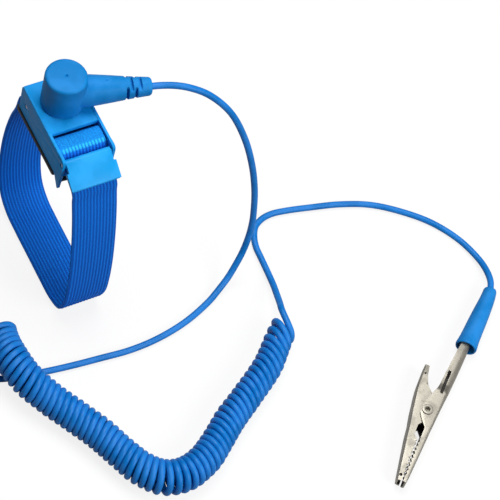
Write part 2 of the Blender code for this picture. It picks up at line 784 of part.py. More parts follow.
def build_clip_fittings():
    half = clip_width / 2
    head_radius, head_rise = jaw_rivet_radius + 0.0009, 0.0003
    outer = half + gap
    rivet = [
        (0, outer + head_rise), (head_radius - 0.0004, outer + head_rise), (head_radius, outer),
        (jaw_rivet_radius, outer), (jaw_rivet_radius, -outer), (head_radius, -outer),
        (head_radius - 0.0004, -outer - head_rise), (0, -outer - head_rise),
    ]
    new_object("jaw_rivet", turned_mesh(rivet, 24), clip_frame, nickel)

    # torsion spring: turns round the rivet, one leg along the tail and one towards the thumb lever
    wire_radius, turns, pitch = 0.0003, 3, 0.0009
    ring = jaw_rivet_radius + gap + wire_radius
    steps = 14 * turns
    first, last = math.radians(150), math.radians(150 + 360 * turns + 50)
    helix = []
    for step in range(steps + 1):
        t = step / steps
        a = first + (last - first) * t
        helix.append((ring * math.cos(a), ring * math.sin(a), pitch * turns * (t - 0.5)))
    low, high = helix[0][2], helix[-1][2]
    tail_leg = [(-0.0085, 0.0030, low), (-0.0050, 0.0026, low), (-0.0026, 0.0018, low)]
    lever_leg = [(-0.0026, -0.0016, high), (-0.0048, -0.0024, high)]
    wire("jaw_spring", [*tail_leg, *helix[1:-1], *lever_leg], wire_radius, clip_frame, steel)

    # insulating sleeve, pushed on from the cord's side, open at both ends
    mouth_x = -0.0326
    end_x = mouth_x - sleeve_length
    bore = cord_radius + gap
    skin = sleeve_wall
    sleeve = [
        (sleeve_mouth_radius, mouth_x), (sleeve_mouth_radius - 0.0007, mouth_x - 0.0035),
        (0.0029, mouth_x - 0.0110), (0.00265, mouth_x - 0.0180), (0.0026, mouth_x - 0.0230),
        (sleeve_end_radius, end_x + 0.0004), (sleeve_end_radius - 0.0003, end_x), (bore, end_x),
        (bore, end_x + 0.0105), (0.0029 - skin + 0.0001, mouth_x - 0.0080),
        (sleeve_mouth_radius - 0.0005 - skin, mouth_x - 0.0035), (sleeve_mouth_radius - skin, mouth_x),
    ]
    new_object("clip_sleeve", turned_mesh(sleeve, 32), clip_frame, blue_soft,
               (0, 0.0032, 0), (0, math.pi / 2, 0))

    # the cord's stripped end, held in the fixed jaw's tail
    core = [(end_x + 0.0110, 0.0032, 0), (-0.0300, 0.0030, 0), (-0.0240, 0.0030, 0)]
    wire("cord_conductor", smooth_route(core, 0.0012), 0.0006, clip_frame, copper)
    return end_x


build_jaws()
sleeve_end_x = build_clip_fittings()


# ---------------------------------------------------------------- cord
# The lead leaves the neck level, falls to the surface, runs under the curly part and round to its
# far end. The tail runs from the near end of the curly part to the clip's sleeve.
def on_clip(x, y, z):
    turn = Matrix.Rotation(clip_angle, 3, "Z")
    return Vector((*clip_pivot, clip_height)) + turn @ Vector((x, y, z))


def past_neck(distance):
    reach = neck_reach + distance
    return Vector((
        stud_x + reach * math.cos(neck_angle), stud_y + reach * math.sin(neck_angle), deck_z + neck_height,
    ))


def past_coil(end, inner, angle, distance):
    """A point beyond one end of the curly part, on the circle that its cord follows."""
    end, inner = Vector(end), Vector(inner)
    out = (end - inner).normalized()
    side = out.cross(Vector((0, 0, 1))).normalized()
    up = side.cross(out)
    around = math.cos(angle) * side + math.sin(angle) * up
    return end + distance * out + (coil_radius - cord_radius) * around


coil_route = [
    (-0.0407, -0.0256, 0.0061), (-0.0422, -0.0329, 0.0073), (-0.0424, -0.0409, 0.0089),
    (-0.0408, -0.0490, 0.0088), (-0.0363, -0.0578, 0.0072), (-0.0305, -0.0672, 0.0061),
    (-0.0253, -0.0767, 0.0061), (-0.0216, -0.0856, 0.0061), (-0.0180, -0.0932, 0.0061),
    (-0.0127, -0.0989, 0.0061), (-0.0053, -0.1009, 0.0061), (0.0037, -0.0984, 0.0061),
    (0.0109, -0.0939, 0.0061), (0.0183, -0.0886, 0.0061), (0.0286, -0.0823, 0.0061),
    (0.0411, -0.0741, 0.0061), (0.0511, -0.0664, 0.0061), (0.0553, -0.0623, 0.0061),
]
lead_route = [
    past_neck(gap), past_neck(0.003), (0.0266, -0.0010, 0.0853), (0.0312, -0.0031, 0.0846),
    (0.0378, -0.0059, 0.0810), (0.0450, -0.0104, 0.0735), (0.0503, -0.0154, 0.0620),
    (0.0533, -0.0201, 0.0500), (0.0546, -0.0239, 0.0390), (0.0549, -0.0265, 0.0295),
    (0.0546, -0.0282, 0.0235), (0.0534, -0.0300, 0.0175), (0.0510, -0.0321, 0.0115),
    (0.0477, -0.0343, 0.0075), (0.0444, -0.0363, 0.0045), (0.0398, -0.0387, 0.0024),
    (0.0347, -0.0413, 0.0014), (0.0232, -0.0457, 0.0013), (0.0110, -0.0482, 0.0013),
    (-0.0003, -0.0488, 0.0013), (-0.0114, -0.0479, 0.0013), (-0.0211, -0.0470, 0.0013),
    (-0.0306, -0.0458, 0.0013), (-0.0420, -0.0440, 0.0013), (-0.0510, -0.0408, 0.0013),
    (-0.0562, -0.0352, 0.0013), (-0.0562, -0.0266, 0.0013), (-0.0522, -0.0196, 0.0013),
    (-0.0460, -0.0176, 0.0013), (-0.0410, -0.0198, 0.0013),
    past_coil(coil_route[0], coil_route[1], math.radians(-90), 0.0025),
    past_coil(coil_route[0], coil_route[1], math.radians(-90), 1.5 * gap),
]
tail_route = [
    past_coil(coil_route[-1], coil_route[-2], math.radians(-70), 2 * gap),
    past_coil(coil_route[-1], coil_route[-2], math.radians(-70), 0.0025),
    (0.0584, -0.0556, 0.0014),
    (0.0588, -0.0502, 0.0013), (0.0594, -0.0451, 0.0013), (0.0602, -0.0389, 0.0013),
    (0.0606, -0.0334, 0.0013), (0.0611, -0.0282, 0.0013), (0.0625, -0.0232, 0.0013),
    (0.0650, -0.0192, 0.0013), (0.0688, -0.0170, 0.0013), (0.0731, -0.0163, 0.0013),
    (0.0786, -0.0169, 0.0013), (0.0882, -0.0189, 0.0013), (0.0996, -0.0217, 0.0013),
    (0.1102, -0.0259, 0.0013), (0.1197, -0.0325, 0.0013), (0.1286, -0.0412, 0.0013),
    (0.1345, -0.0504, 0.0013), (0.1378, -0.0600, 0.0015), (0.1385, -0.0672, 0.0025),
    on_clip(sleeve_end_x - 0.0032, 0.0030, -0.0002), on_clip(sleeve_end_x - gap, 0.0032, 0),
]
wire("cord_lead", smooth_route(lead_route, 0.0045), cord_radius, None, blue_soft)
wire("cord_coil", smooth_route(coil_route, 0.0050), coil_radius, None, blue_soft).data.bevel_resolution = 4
wire("cord_tail", smooth_route(tail_route, 0.0040), cord_radius, None, blue_soft)
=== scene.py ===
from math import ceil, cos, exp, hypot, pi, radians, sin

import bmesh
import bpy
from mathutils import Matrix, Vector


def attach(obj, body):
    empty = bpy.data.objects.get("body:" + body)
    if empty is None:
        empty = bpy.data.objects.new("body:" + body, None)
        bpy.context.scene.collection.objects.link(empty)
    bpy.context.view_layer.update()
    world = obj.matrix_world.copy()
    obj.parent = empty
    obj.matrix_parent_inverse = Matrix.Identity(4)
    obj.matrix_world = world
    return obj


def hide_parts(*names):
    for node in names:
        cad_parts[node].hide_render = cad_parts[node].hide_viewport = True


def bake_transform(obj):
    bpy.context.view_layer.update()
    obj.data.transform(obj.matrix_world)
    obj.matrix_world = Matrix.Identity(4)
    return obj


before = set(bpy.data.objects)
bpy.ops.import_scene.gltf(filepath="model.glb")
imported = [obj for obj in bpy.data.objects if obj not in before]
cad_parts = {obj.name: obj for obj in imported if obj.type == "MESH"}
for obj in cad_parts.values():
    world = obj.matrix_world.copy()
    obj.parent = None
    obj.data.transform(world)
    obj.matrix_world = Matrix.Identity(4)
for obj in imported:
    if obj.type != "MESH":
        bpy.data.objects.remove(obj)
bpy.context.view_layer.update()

# -------- camera
# The picture looks down at the strap from in front of its clamp, with the frame turned a little.
# A long lens from most of a metre away keeps the buckle's edges nearly parallel.
camera_distance, camera_lens, sensor_width = 0.855, 169.3, 36
camera = bpy.data.objects.new("camera", bpy.data.cameras.new("camera"))
bpy.context.scene.collection.objects.link(camera)
bpy.context.scene.camera = camera
camera.data.sensor_width = sensor_width
camera.data.lens = camera_lens
camera_turn, camera_height, camera_roll = (radians(a) for a in (-43.06, 56.95, 19.0))
looking_at = Vector((0.05925, -0.0267, 0))
away = Vector((
    sin(camera_turn) * cos(camera_height),
    -cos(camera_turn) * cos(camera_height),
    sin(camera_height),
))
level = Vector((cos(camera_turn), sin(camera_turn), 0))
upright = away.cross(level)
rightwards = cos(camera_roll) * level + sin(camera_roll) * upright
upwards = cos(camera_roll) * upright - sin(camera_roll) * level
camera.matrix_world = (
    Matrix.Translation(looking_at + camera_distance * away)
    @ Matrix((rightwards, upwards, away)).transposed().to_4x4()
)


# -------- floor and light
# A white table under one large soft box above and behind, and a weaker one in front, in a dim room.
# The table keeps the strap's shadow near the strap, and runs out to plain white round it.
table_white, table_seen = (0.36, 0.36, 0.37), (0.93, 0.93, 0.93)
table_glow, table_gleam = 0.84, 0.14
shadow_reach, plain_reach = 0.35, 1.0
room_light = 0.08
bpy.context.scene.view_settings.view_transform = "Standard"


class Signal:
    """A number or colour that runs through a material's nodes, and can be used in sums."""

    def __init__(self, finish, socket):
        self.finish = finish
        self.socket = socket

    def _sum(self, operation, first, second):
        return self.finish.node("Math", {"operation": operation}, first, second)

    def __add__(self, other):
        return self._sum("ADD", self, other)

    def __sub__(self, other):
        return self._sum("SUBTRACT", self, other)

    def __rsub__(self, other):
        return self._sum("SUBTRACT", other, self)

    def __mul__(self, other):
        return self._sum("MULTIPLY", self, other)

    __radd__ = __add__
    __rmul__ = __mul__


class Finish:
    """A material under way. Its nodes are made one by one, and shade() links them to the shader."""

    def __init__(self, name, colour, roughness, metallic=0.0, **shader_settings):
        self.material = bpy.data.materials.new(name)
        self.material.use_nodes = True
        self.tree = self.material.node_tree
        self.shader = self.tree.nodes["Principled BSDF"]
        self.material.diffuse_color = (*colour, 1)
        self.shade(Base_Color=(*colour, 1), Roughness=roughness, Metallic=metallic, **shader_settings)

    def feed(self, socket, value):
        if isinstance(value, Signal):
            self.tree.links.new(value.socket, socket)
        else:
            socket.default_value = value

    def node(self, kind, settings, *values, out=0, **named):
        made = self.tree.nodes.new("ShaderNode" + kind)
        for key, value in settings.items():
            setattr(made, key, value)
        for socket, value in zip(made.inputs, values):
            self.feed(socket, value)
        for key, value in named.items():
            self.feed(made.inputs[key.replace("_", " ")], value)
        return Signal(self, made.outputs[out])

    def shade(self, **named):
        for key, value in named.items():
            self.feed(self.shader.inputs[key.replace("_", " ")], value)

    def place(self, stretch=(1, 1, 1)):
        """The point on the piece, in metres, drawn out along its axes."""
        return self.node("Mapping", {}, self.node("TexCoord", {}, out="Object"), Scale=stretch)

    def noise(self, place, scale, detail=3.0, roughness=0.5):
        return self.node("TexNoise", {}, Vector=place, Scale=scale, Detail=detail, Roughness=roughness)

    def between(self, signal, low, high, to_low=0.0, to_high=1.0):
        """The signal's range from low to high, eased onto another range and held at its ends."""
        settings = {"interpolation_type": "SMOOTHSTEP"}
        return self.node("MapRange", settings, signal, low, high, to_low, to_high)

    def mix(self, amount, first, second):
        """One colour laid over another."""
        made = self.tree.nodes.new("ShaderNodeMix")
        made.data_type = "RGBA"
        for index, value in ((0, amount), (6, first), (7, second)):
            if not isinstance(value, Signal) and index:
                value = (*value, 1)
            self.feed(made.inputs[index], value)
        return Signal(self, made.outputs[2])

    def bump(self, height, depth):
        """A surface raised by height, where 1 stands for depth in metres."""
        return self.node("Bump", {}, Strength=1.0, Distance=depth, Height=height)


def new_floor():
    bpy.ops.mesh.primitive_plane_add(size=6, location=(0, 0, -0.0001))
    floor = bpy.context.object
    floor.name = "floor"
    bpy.ops.object.transform_apply()
    table = Finish("white_table", table_white, 0.9)
    seen = table.node("LightPath", {}, out="Is Camera Ray")
    table.shade(Base_Color=table.mix(seen, table_white, table_seen))
    glossy = table.node("LightPath", {}, out="Is Glossy Ray")
    glow = table.node("Emission", {}, (1, 1, 1, 1), 1.0)
    body = Signal(table, table.shader.outputs[0])
    reach = table.node("VectorMath", {"operation": "LENGTH"}, table.place(), out="Value")
    far = table.between(reach, shadow_reach, plain_reach)
    lit = seen * (table_glow + (1 - table_glow) * far) + glossy * table_gleam
    both = table.node("MixShader", {}, lit, body, glow)
    table.tree.links.new(both.socket, table.tree.nodes["Material Output"].inputs[0])
    floor.data.materials.append(table.material)


def new_world():
    world = bpy.data.worlds.new("white_room")
    world.use_nodes = True
    bpy.context.scene.world = world
    tree = world.node_tree
    path = tree.nodes.new("ShaderNodeLightPath")
    strength = tree.nodes.new("ShaderNodeMapRange")
    strength.inputs[3].default_value = room_light
    strength.inputs[4].default_value = 1.0
    tree.links.new(path.outputs["Is Camera Ray"], strength.inputs[0])
    tree.links.new(strength.outputs[0], tree.nodes["Background"].inputs[1])
    tree.nodes["Background"].inputs[0].default_value = (1, 1, 1, 1)


def new_soft_box(name, place, aim, size, watts):
    light = bpy.data.lights.new(name, "AREA")
    light.shape = "DISK"
    light.size = size
    light.energy = watts
    lamp = bpy.data.objects.new(name, light)
    bpy.context.scene.collection.objects.link(lamp)
    lamp.location = place
    lamp.rotation_euler = (Vector(place) - Vector(aim)).to_track_quat("Z", "Y").to_euler()


new_floor()
new_world()
new_soft_box("overhead_box", (0.10, 0.17, 0.80), (0.03, -0.03, 0.02), 0.58, 5.8)
new_soft_box("front_box", (0.28, -0.60, 0.50), (0.03, -0.03, 0.03), 0.50, 4.0)


# -------- cord
# One continuous flexible cord: a tinsel conductor in a smooth blue jacket, heat-set into a close curl.
# Its straight lead leaves the head's neck, falls to the table and runs under the curl to its far end,
# and its tail runs on to the clip.
cord_radius = 0.0012
curl_radius, curl_turns = 0.0060, 61.43


def flowing(route, spacing):
    """Evenly spaced points on a smooth curve through a route."""
    route = [Vector(p) for p in route]
    ring = [2 * route[0] - route[1], *route, 2 * route[-1] - route[-2]]
    dense = []
    for p0, p1, p2, p3 in zip(ring, ring[1:], ring[2:], ring[3:]):
        t1 = (p1 - p0).length ** 0.5
        t2 = t1 + (p2 - p1).length ** 0.5
        t3 = t2 + (p3 - p2).length ** 0.5
        steps = max(4, ceil((p2 - p1).length / spacing * 3))
        for step in range(steps):
            t = t1 + (t2 - t1) * step / steps
            a1 = p0.lerp(p1, t / t1)
            a2 = p1.lerp(p2, (t - t1) / (t2 - t1))
            a3 = p2.lerp(p3, (t - t2) / (t3 - t2))
            b1 = a1.lerp(a2, t / t2)
            b2 = a2.lerp(a3, (t - t1) / (t3 - t1))
            dense.append(b1.lerp(b2, (t - t1) / (t2 - t1)))
    dense.append(route[-1])
    lengths = [0.0]
    for a, b in zip(dense, dense[1:]):
        lengths.append(lengths[-1] + (b - a).length)
    count = max(2, round(lengths[-1] / spacing))
    points, index = [], 0
    for step in range(count + 1):
        wanted = lengths[-1] * step / count
        while index < len(lengths) - 2 and lengths[index + 1] < wanted:
            index += 1
        share = (wanted - lengths[index]) / (lengths[index + 1] - lengths[index])
        points.append(dense[index].lerp(dense[index + 1], min(max(share, 0), 1)))
    return points


def heading(path, index):
    """The direction of a path at one of its points."""
    return (path[min(index + 1, len(path) - 1)] - path[max(index - 1, 0)]).normalized()


def circle(count):
    """Even steps of angle round a circle."""
    return [2 * pi * i / count for i in range(count)]


def skin(name, rings, capped=True, around=None):
    """A surface over closed rings of points, with its distance along and around kept as a UV map."""
    count = len(rings[0])
    mesh = bpy.data.meshes.new(name)
    faces, along = [], [0.0]
    for one, two in zip(rings, rings[1:]):
        along.append(along[-1] + (sum(two, Vector()) - sum(one, Vector())).length / count)
    if around is None:
        around = [0.0]
        for i in range(count):
            around.append(around[-1] + (rings[0][(i + 1) % count] - rings[0][i]).length)
    uvs = []
    for r in range(len(rings) - 1):
        for i in range(count):
            j = (i + 1) % count
            faces.append((r * count + i, r * count + j, (r + 1) * count + j, (r + 1) * count + i))
            uvs += [
                (around[i], along[r]), (around[i + 1], along[r]),
                (around[i + 1], along[r + 1]), (around[i], along[r + 1]),
            ]
    if capped:
        last = (len(rings) - 1) * count
        faces.append(tuple(range(count - 1, -1, -1)))
        faces.append(tuple(last + i for i in range(count)))
        uvs += [(around[i % count], 0) for i in range(2 * count)]
    mesh.from_pydata([tuple(p) for ring in rings for p in ring], [], faces)
    layer = mesh.uv_layers.new(name="surface")
    for entry, uv in zip(layer.data, uvs):
        entry.uv = uv
    mesh.shade_smooth()
    piece = bpy.data.objects.new(name, mesh)
    bpy.context.scene.collection.objects.link(piece)
    return piece


def tube(name, path, radius, sides):
    """A round wire or cord along its path, with flat ends."""
    rings = []
    tangent = (path[1] - path[0]).normalized()
    across = tangent.orthogonal().normalized()
    for index, point in enumerate(path):
        ahead = heading(path, index)
        across = tangent.rotation_difference(ahead) @ across
        across = (across - across.dot(ahead) * ahead).normalized()
        tangent = ahead
        other = ahead.cross(across)
        rings.append([
            point + radius * (cos(a) * across + sin(a) * other) for a in circle(sides)
        ])
    return skin(name, rings)


def lying(*points):
    """Points where the cord lies on the table, with its middle 1.3 mm above it."""
    return [(x, y, 0.0013) for x, y in points]


curl_route = [
    (-0.0407, -0.0256, 0.0061), (-0.0422, -0.0329, 0.0075), (-0.0424, -0.0409, 0.0092),
    (-0.0408, -0.0490, 0.0090), (-0.0363, -0.0578, 0.0073), (-0.0305, -0.0672, 0.0062),
    (-0.0253, -0.0767, 0.0061), (-0.0216, -0.0858, 0.0062), (-0.0181, -0.0935, 0.0065),
    (-0.0129, -0.0993, 0.0067), (-0.0055, -0.1013, 0.0067), (0.0036, -0.0988, 0.0065),
    (0.0109, -0.0941, 0.0062), (0.0183, -0.0886, 0.0061), (0.0286, -0.0823, 0.0061),
    (0.0411, -0.0741, 0.0061), (0.0488, -0.0669, 0.0060), (0.0538, -0.0625, 0.0057),
]
lead_route = [
    (0.0154, 0.0022, 0.0855), (0.0188, 0.0013, 0.0855), (0.0217, 0.0006, 0.0855),
    (0.0266, -0.0010, 0.0853), (0.0312, -0.0031, 0.0846), (0.0378, -0.0059, 0.0810),
    (0.0450, -0.0104, 0.0735), (0.0503, -0.0154, 0.0620), (0.0533, -0.0201, 0.0500),
    (0.0546, -0.0239, 0.0390), (0.0549, -0.0265, 0.0295), (0.0546, -0.0282, 0.0235),
    (0.0534, -0.0300, 0.0175), (0.0510, -0.0321, 0.0115), (0.0477, -0.0343, 0.0075),
    (0.0444, -0.0363, 0.0045), (0.0398, -0.0387, 0.0024), (0.0347, -0.0413, 0.0014),
    *lying(
        (0.0232, -0.0457), (0.0110, -0.0482), (-0.0003, -0.0488), (-0.0114, -0.0479), (-0.0211, -0.0470),
        (-0.0306, -0.0458), (-0.0420, -0.0440), (-0.0510, -0.0408), (-0.0562, -0.0352),
        (-0.0562, -0.0266), (-0.0522, -0.0196), (-0.0460, -0.0176), (-0.0416, -0.0196),
    ),
]
tail_route = [
    (0.0547, -0.0572, 0.0092), (0.0560, -0.0542, 0.0074), (0.0577, -0.0494, 0.0050),
    (0.0592, -0.0444, 0.0031), (0.0601, -0.0396, 0.0020), (0.0607, -0.0347, 0.0014),
    *lying(
        (0.0610, -0.0310), (0.0613, -0.0272), (0.0625, -0.0232), (0.0650, -0.0192), (0.0688, -0.0170),
        (0.0731, -0.0163), (0.0786, -0.0169), (0.0882, -0.0189), (0.0996, -0.0217), (0.1102, -0.0259),
        (0.1197, -0.0325), (0.1286, -0.0412), (0.1349, -0.0517),
    ),
    (0.1374, -0.0622, 0.0020), (0.1370, -0.0680, 0.0031), (0.1356, -0.0726, 0.0040),
    (0.1336, -0.0757, 0.0043), (0.1316, -0.0778, 0.0043), (0.1297, -0.0796, 0.0043),
    (0.1266, -0.0821, 0.0043),
]


def curl(route, turns, points_a_turn):
    """A left-handed helix about its route. Its turns lean one way before the bend and the other way after
    it, crowd together inside the bend, and lean more and narrow toward the pulled end at the clip."""
    spacing, window = 0.0005, 8
    bend_from_end, bend_length, tightness, swelling = 0.052, 0.040, 0.72, 0.3
    lean_after, lean_swing, lean_fade = 0.22, 0.60, 0.022
    narrowing, narrow_fade = 0.20, 0.05
    start_gap, start_fade, end_gap, end_fade = 9, 0.0014, 0.8, 0.0025
    rate_after, rate_added = 0.90, 0.14
    line = flowing(route, spacing)
    reach = curl_radius - cord_radius
    rates, leans, sizes = [], [], []
    for index in range(len(line)):
        near = line[max(index - window, 0):index + window + 1]
        bend = (near[-1] - near[-2]).angle(near[1] - near[0]) / (spacing * (len(near) - 1))
        start, end = index * spacing, (len(line) - 1 - index) * spacing
        before = min(max((end - bend_from_end) / bend_length, 0), 1)
        eased = before * before * (3 - 2 * before)
        lean = lean_after - lean_swing * eased + lean_swing * exp(-end / lean_fade)
        pulled_open = start_gap * exp(-start / start_fade) + end_gap * exp(-end / end_fade)
        crowded = max(1.0, tightness / (1 - reach * bend))
        leans.append(lean)
        sizes.append(reach * (1 - narrowing * exp(-end / narrow_fade)) * (1 + swelling * reach * bend))
        rates.append((rate_after + rate_added * before) / (crowded * hypot(1, lean) + pulled_open))
    angle, whole, step = radians(-90), 2 * pi * turns, 2 * pi / points_a_turn
    points, wanted = [], angle
    for index, (centre, rate, lean, size) in enumerate(zip(line, rates, leans, sizes)):
        following = line[min(index + 1, len(line) - 1)]
        ahead = heading(line, index)
        side = ahead.cross(Vector((0, 0, 1))).normalized()
        rise = side.cross(ahead)
        advance = whole * rate / sum(rates)
        while wanted < angle + advance:
            out = cos(wanted) * (side - lean * ahead) + sin(wanted) * rise
            points.append(centre.lerp(following, (wanted - angle) / advance) + size * out)
            wanted += step
        angle += advance
    return points


curled = curl(curl_route, curl_turns, 20)
cord_path = flowing([*lead_route, *curled, *tail_route], 0.0009)
cord = tube("cord", cord_path, cord_radius, 12)


def moulded(name, colour, roughness, speckle=0.04, grain=0.00002, gloss=0.15):
    """Satin plastic: uneven pigment, fine moulding grain, and faint rubbed marks in the gloss."""
    plastic = Finish(name, colour, roughness, Specular_IOR_Level=gloss)
    place = plastic.place()
    cloudy = plastic.between(plastic.noise(place, 130, 2), 0.35, 0.65)
    fine = plastic.noise(place, 5200, 2)
    rubs = plastic.between(plastic.noise(plastic.place((260, 2600, 900)), 1.0, 3), 0.56, 0.72)
    deep = tuple(c * (1 - 2.2 * speckle) for c in colour)
    pale = tuple(min(1, c * (1 + 1.6 * speckle) + 0.3 * speckle) for c in colour)
    pigment = plastic.mix(cloudy, deep, pale)
    pigment = plastic.mix(plastic.between(fine, 0.45, 0.75) * speckle * 4, pigment, pale)
    plastic.shade(
        Base_Color=pigment,
        Roughness=roughness + 0.08 * cloudy + 0.10 * rubs,
        Normal=plastic.bump(fine * 0.7 + cloudy * 0.8, grain),
    )
    return plastic.material


jacket = moulded("cord_jacket", (0.002, 0.180, 0.59), 0.36, gloss=0.22)
cord.data.materials.append(jacket)
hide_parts("cord_lead", "cord_coil", "cord_tail")
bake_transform(cord)


# -------- snap head
# An elastomer cap with a tapered neck, moulded in one piece over the socket, resistor and cord.
# Slots cut into the neck from both sides let it flex, and its corners are softened by the mould.
head_place = Vector((-0.00969, 0.00900, 0.08000))
head_turn = radians(-15)
cap_radius, cap_height, cap_floor, cap_round = 0.0072, 0.0150, 0.0004, 0.0011
neck_height, neck_start, neck_reach, neck_radius = 0.0055, 0.0085, 0.0295, 0.0054
slot_start, slot_step, slot_width, slot_depth, slot_far = 0.0205, 0.0015, 0.00085, 0.0020, 0.0075


def begin(name):
    """Names the primitive just added, and keeps its place in its mesh."""
    piece = bpy.context.object
    piece.name = piece.data.name = name
    bpy.ops.object.transform_apply(location=True, rotation=True, scale=True)
    return piece


def choose(piece):
    bpy.ops.object.select_all(action="DESELECT")
    bpy.context.view_layer.objects.active = piece
    piece.select_set(True)


def work(piece, wanted, *steps, kind="FACE"):
    """Selects faces by middle and normal, or edges by middle and direction, and works on them."""
    choose(piece)
    bpy.ops.object.mode_set(mode="EDIT")
    bpy.ops.mesh.select_mode(type=kind)
    bpy.ops.mesh.select_all(action="DESELECT")
    mesh = bmesh.from_edit_mesh(piece.data)
    if kind == "FACE":
        for face in mesh.faces:
            face.select_set(bool(wanted(face.calc_center_median(), face.normal)))
    else:
        for edge in mesh.edges:
            one, two = (corner.co for corner in edge.verts)
            edge.select_set(bool(wanted((one + two) / 2, (two - one).normalized())))
    bmesh.update_edit_mesh(piece.data)
    for operator, settings in steps:
        operator(**settings)
    bpy.ops.object.mode_set(mode="OBJECT")


def inset(width):
    return bpy.ops.mesh.inset, {"thickness": width}


def moved(*shift):
    return bpy.ops.transform.translate, {"value": shift}


def extruded(*shift):
    return bpy.ops.mesh.extrude_region_move, {"TRANSFORM_OT_translate": {"value": shift}}


def scaled(shares, centre):
    return bpy.ops.transform.resize, {"value": shares, "center_override": centre}


def rounded(piece, wanted, radius, segments):
    """Rounds the edges that are wanted."""
    work(piece, wanted, (bpy.ops.mesh.bevel, {"offset": radius, "segments": segments}), kind="EDGE")


def finish_with(piece, kind, **settings):
    """Adds a modifier and applies it."""
    choose(piece)
    made = piece.modifiers.new(kind.lower(), kind)
    for key, value in settings.items():
        setattr(made, key, value)
    bpy.ops.object.modifier_apply(modifier=made.name)


def combine(piece, other, operation="DIFFERENCE"):
    """Cuts another shape from the piece, or welds it on, and clears it away."""
    finish_with(piece, "BOOLEAN", object=other, operation=operation, solver="EXACT")
    bpy.data.objects.remove(other, do_unlink=True)


def rod(name, start, end, radius, sides=48):
    """A round bar between two points."""
    start, end = Vector(start), Vector(end)
    bpy.ops.mesh.primitive_cylinder_add(
        vertices=sides, radius=radius, depth=(end - start).length, location=(start + end) / 2,
        rotation=(end - start).to_track_quat("Z", "Y").to_euler(),
    )
    return begin(name)


def block(name, low, high):
    """A block between two corners."""
    low, high = Vector(low), Vector(high)
    bpy.ops.mesh.primitive_cube_add(size=1, location=(low + high) / 2, scale=high - low)
    return begin(name)


def drill(piece, start, end, radius, sides=32):
    combine(piece, rod("drill", start, end, radius, sides))


def put_at(piece, place, turn):
    """Turns a piece about +Z and moves it, in its mesh."""
    piece.data.transform(Matrix.Translation(place) @ Matrix.Rotation(turn, 4, "Z"))


def smooth(piece, angle=35):
    choose(piece)
    bpy.ops.object.shade_smooth_by_angle(angle=radians(angle))


def fit(piece, body, material, slot, *nodes):
    """Gives a finished piece its material and body, and hides the nodes that it stands for. The slot is not
    used.
    """
    piece.data.materials.clear()
    piece.data.materials.append(material)
    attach(piece, body)
    if nodes:
        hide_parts(*nodes)


def new_cap():
    """The round cap. Its top is slightly domed, and has a small sunk dot in its middle."""
    cap = rod("snap_cap", (0, 0, cap_floor), (0, 0, cap_height), cap_radius, 96)
    work(
        cap, lambda middle, normal: normal.z > 0.9, inset(0.0012), inset(0.0028), moved(0, 0, 0.00012),
        inset(0.0026), inset(0.00018), extruded(0, 0, -0.0007),
    )

    def on_rim(middle, along):
        from_axis = hypot(middle.x, middle.y)
        return abs(middle.z - cap_height) < 1e-5 and abs(from_axis - cap_radius) < 1e-4

    rounded(cap, on_rim, cap_round, 5)
    return cap


def new_neck():
    """The tapered neck. Each step is a place along it, and how much it narrows there."""
    neck = rod("neck", (0.0020, 0, neck_height), (neck_start, 0, neck_height), neck_radius, 64)
    steps, reached = [], neck_start
    for x, scale in (
        (0.0125, 0.92), (0.0165, 0.905), (0.0205, 0.89), (0.0250, 0.875), (0.0288, 0.90), (neck_reach, 0.86),
    ):
        steps += [extruded(x - reached, 0, 0), scaled((1, scale, scale), (x, 0, neck_height))]
        reached = x
    work(neck, lambda middle, normal: normal.x > 0.9, *steps)
    return neck


def cut_slots(head):
    """Cuts the slots in pairs, by turns from the sides and from above and below."""
    for index in range(4):
        x = slot_start + slot_step * index
        for side in (-1, 1):
            low, high = sorted((side * slot_depth, side * slot_far))
            corners = [(low, -slot_far), (high, slot_far)]
            if index % 2:
                corners = [(z, y) for y, z in corners]
            (y0, z0), (y1, z1) = corners
            combine(head, block("slot", (x, y0, neck_height + z0), (x + slot_width, y1, neck_height + z1)))


def new_snap_head():
    """Cap and neck in one piece, bored for the socket and the cord, with a small pit over the neck."""
    head = new_cap()
    combine(head, new_neck(), "UNION")
    drill(head, (0, 0, -0.001), (0, 0, 0.0068), 0.0056, 64)
    drill(head, (0, 0, neck_height), (0.032, 0, neck_height), 0.0016)
    cut_slots(head)
    gate = Vector((0.0140, 0.0006, neck_height + 0.0042))
    drill(head, gate, gate + Vector((0, 0, 0.0058)), 0.00045, 24)
    finish_with(head, "REMESH", mode="VOXEL", voxel_size=0.00020)
    finish_with(head, "SMOOTH", factor=0.5, iterations=6)
    choose(head)
    bpy.ops.object.shade_smooth()
    put_at(head, head_place, head_turn)
    return head


soft_blue = moulded("soft_blue", (0.002, 0.205, 0.57), 0.42, grain=0.00003, gloss=0.10)
fit(new_snap_head(), "head", soft_blue, "blue_soft", "snap_head")


# -------- press stud and safety resistor
# The head's nickel-plated socket clicks over the stud on the buckle, held by a split steel ring.
# Behind it a one-megohm resistor, soldered and crimped between socket and cord, fills the neck.
merged = (bpy.ops.mesh.remove_doubles, {"threshold": 3e-6})
facing_out = (bpy.ops.mesh.normals_make_consistent, {"inside": False})


def everywhere(middle, direction):
    return True


def near(start, *steps):
    """Points given as steps from one place."""
    return [tuple(a + b for a, b in zip(start, step)) for step in steps]


def both_ends(end, length):
    """The profile of a piece with two like ends, from the profile of one."""
    return end + [(r, length - h) for r, h in reversed(end)]


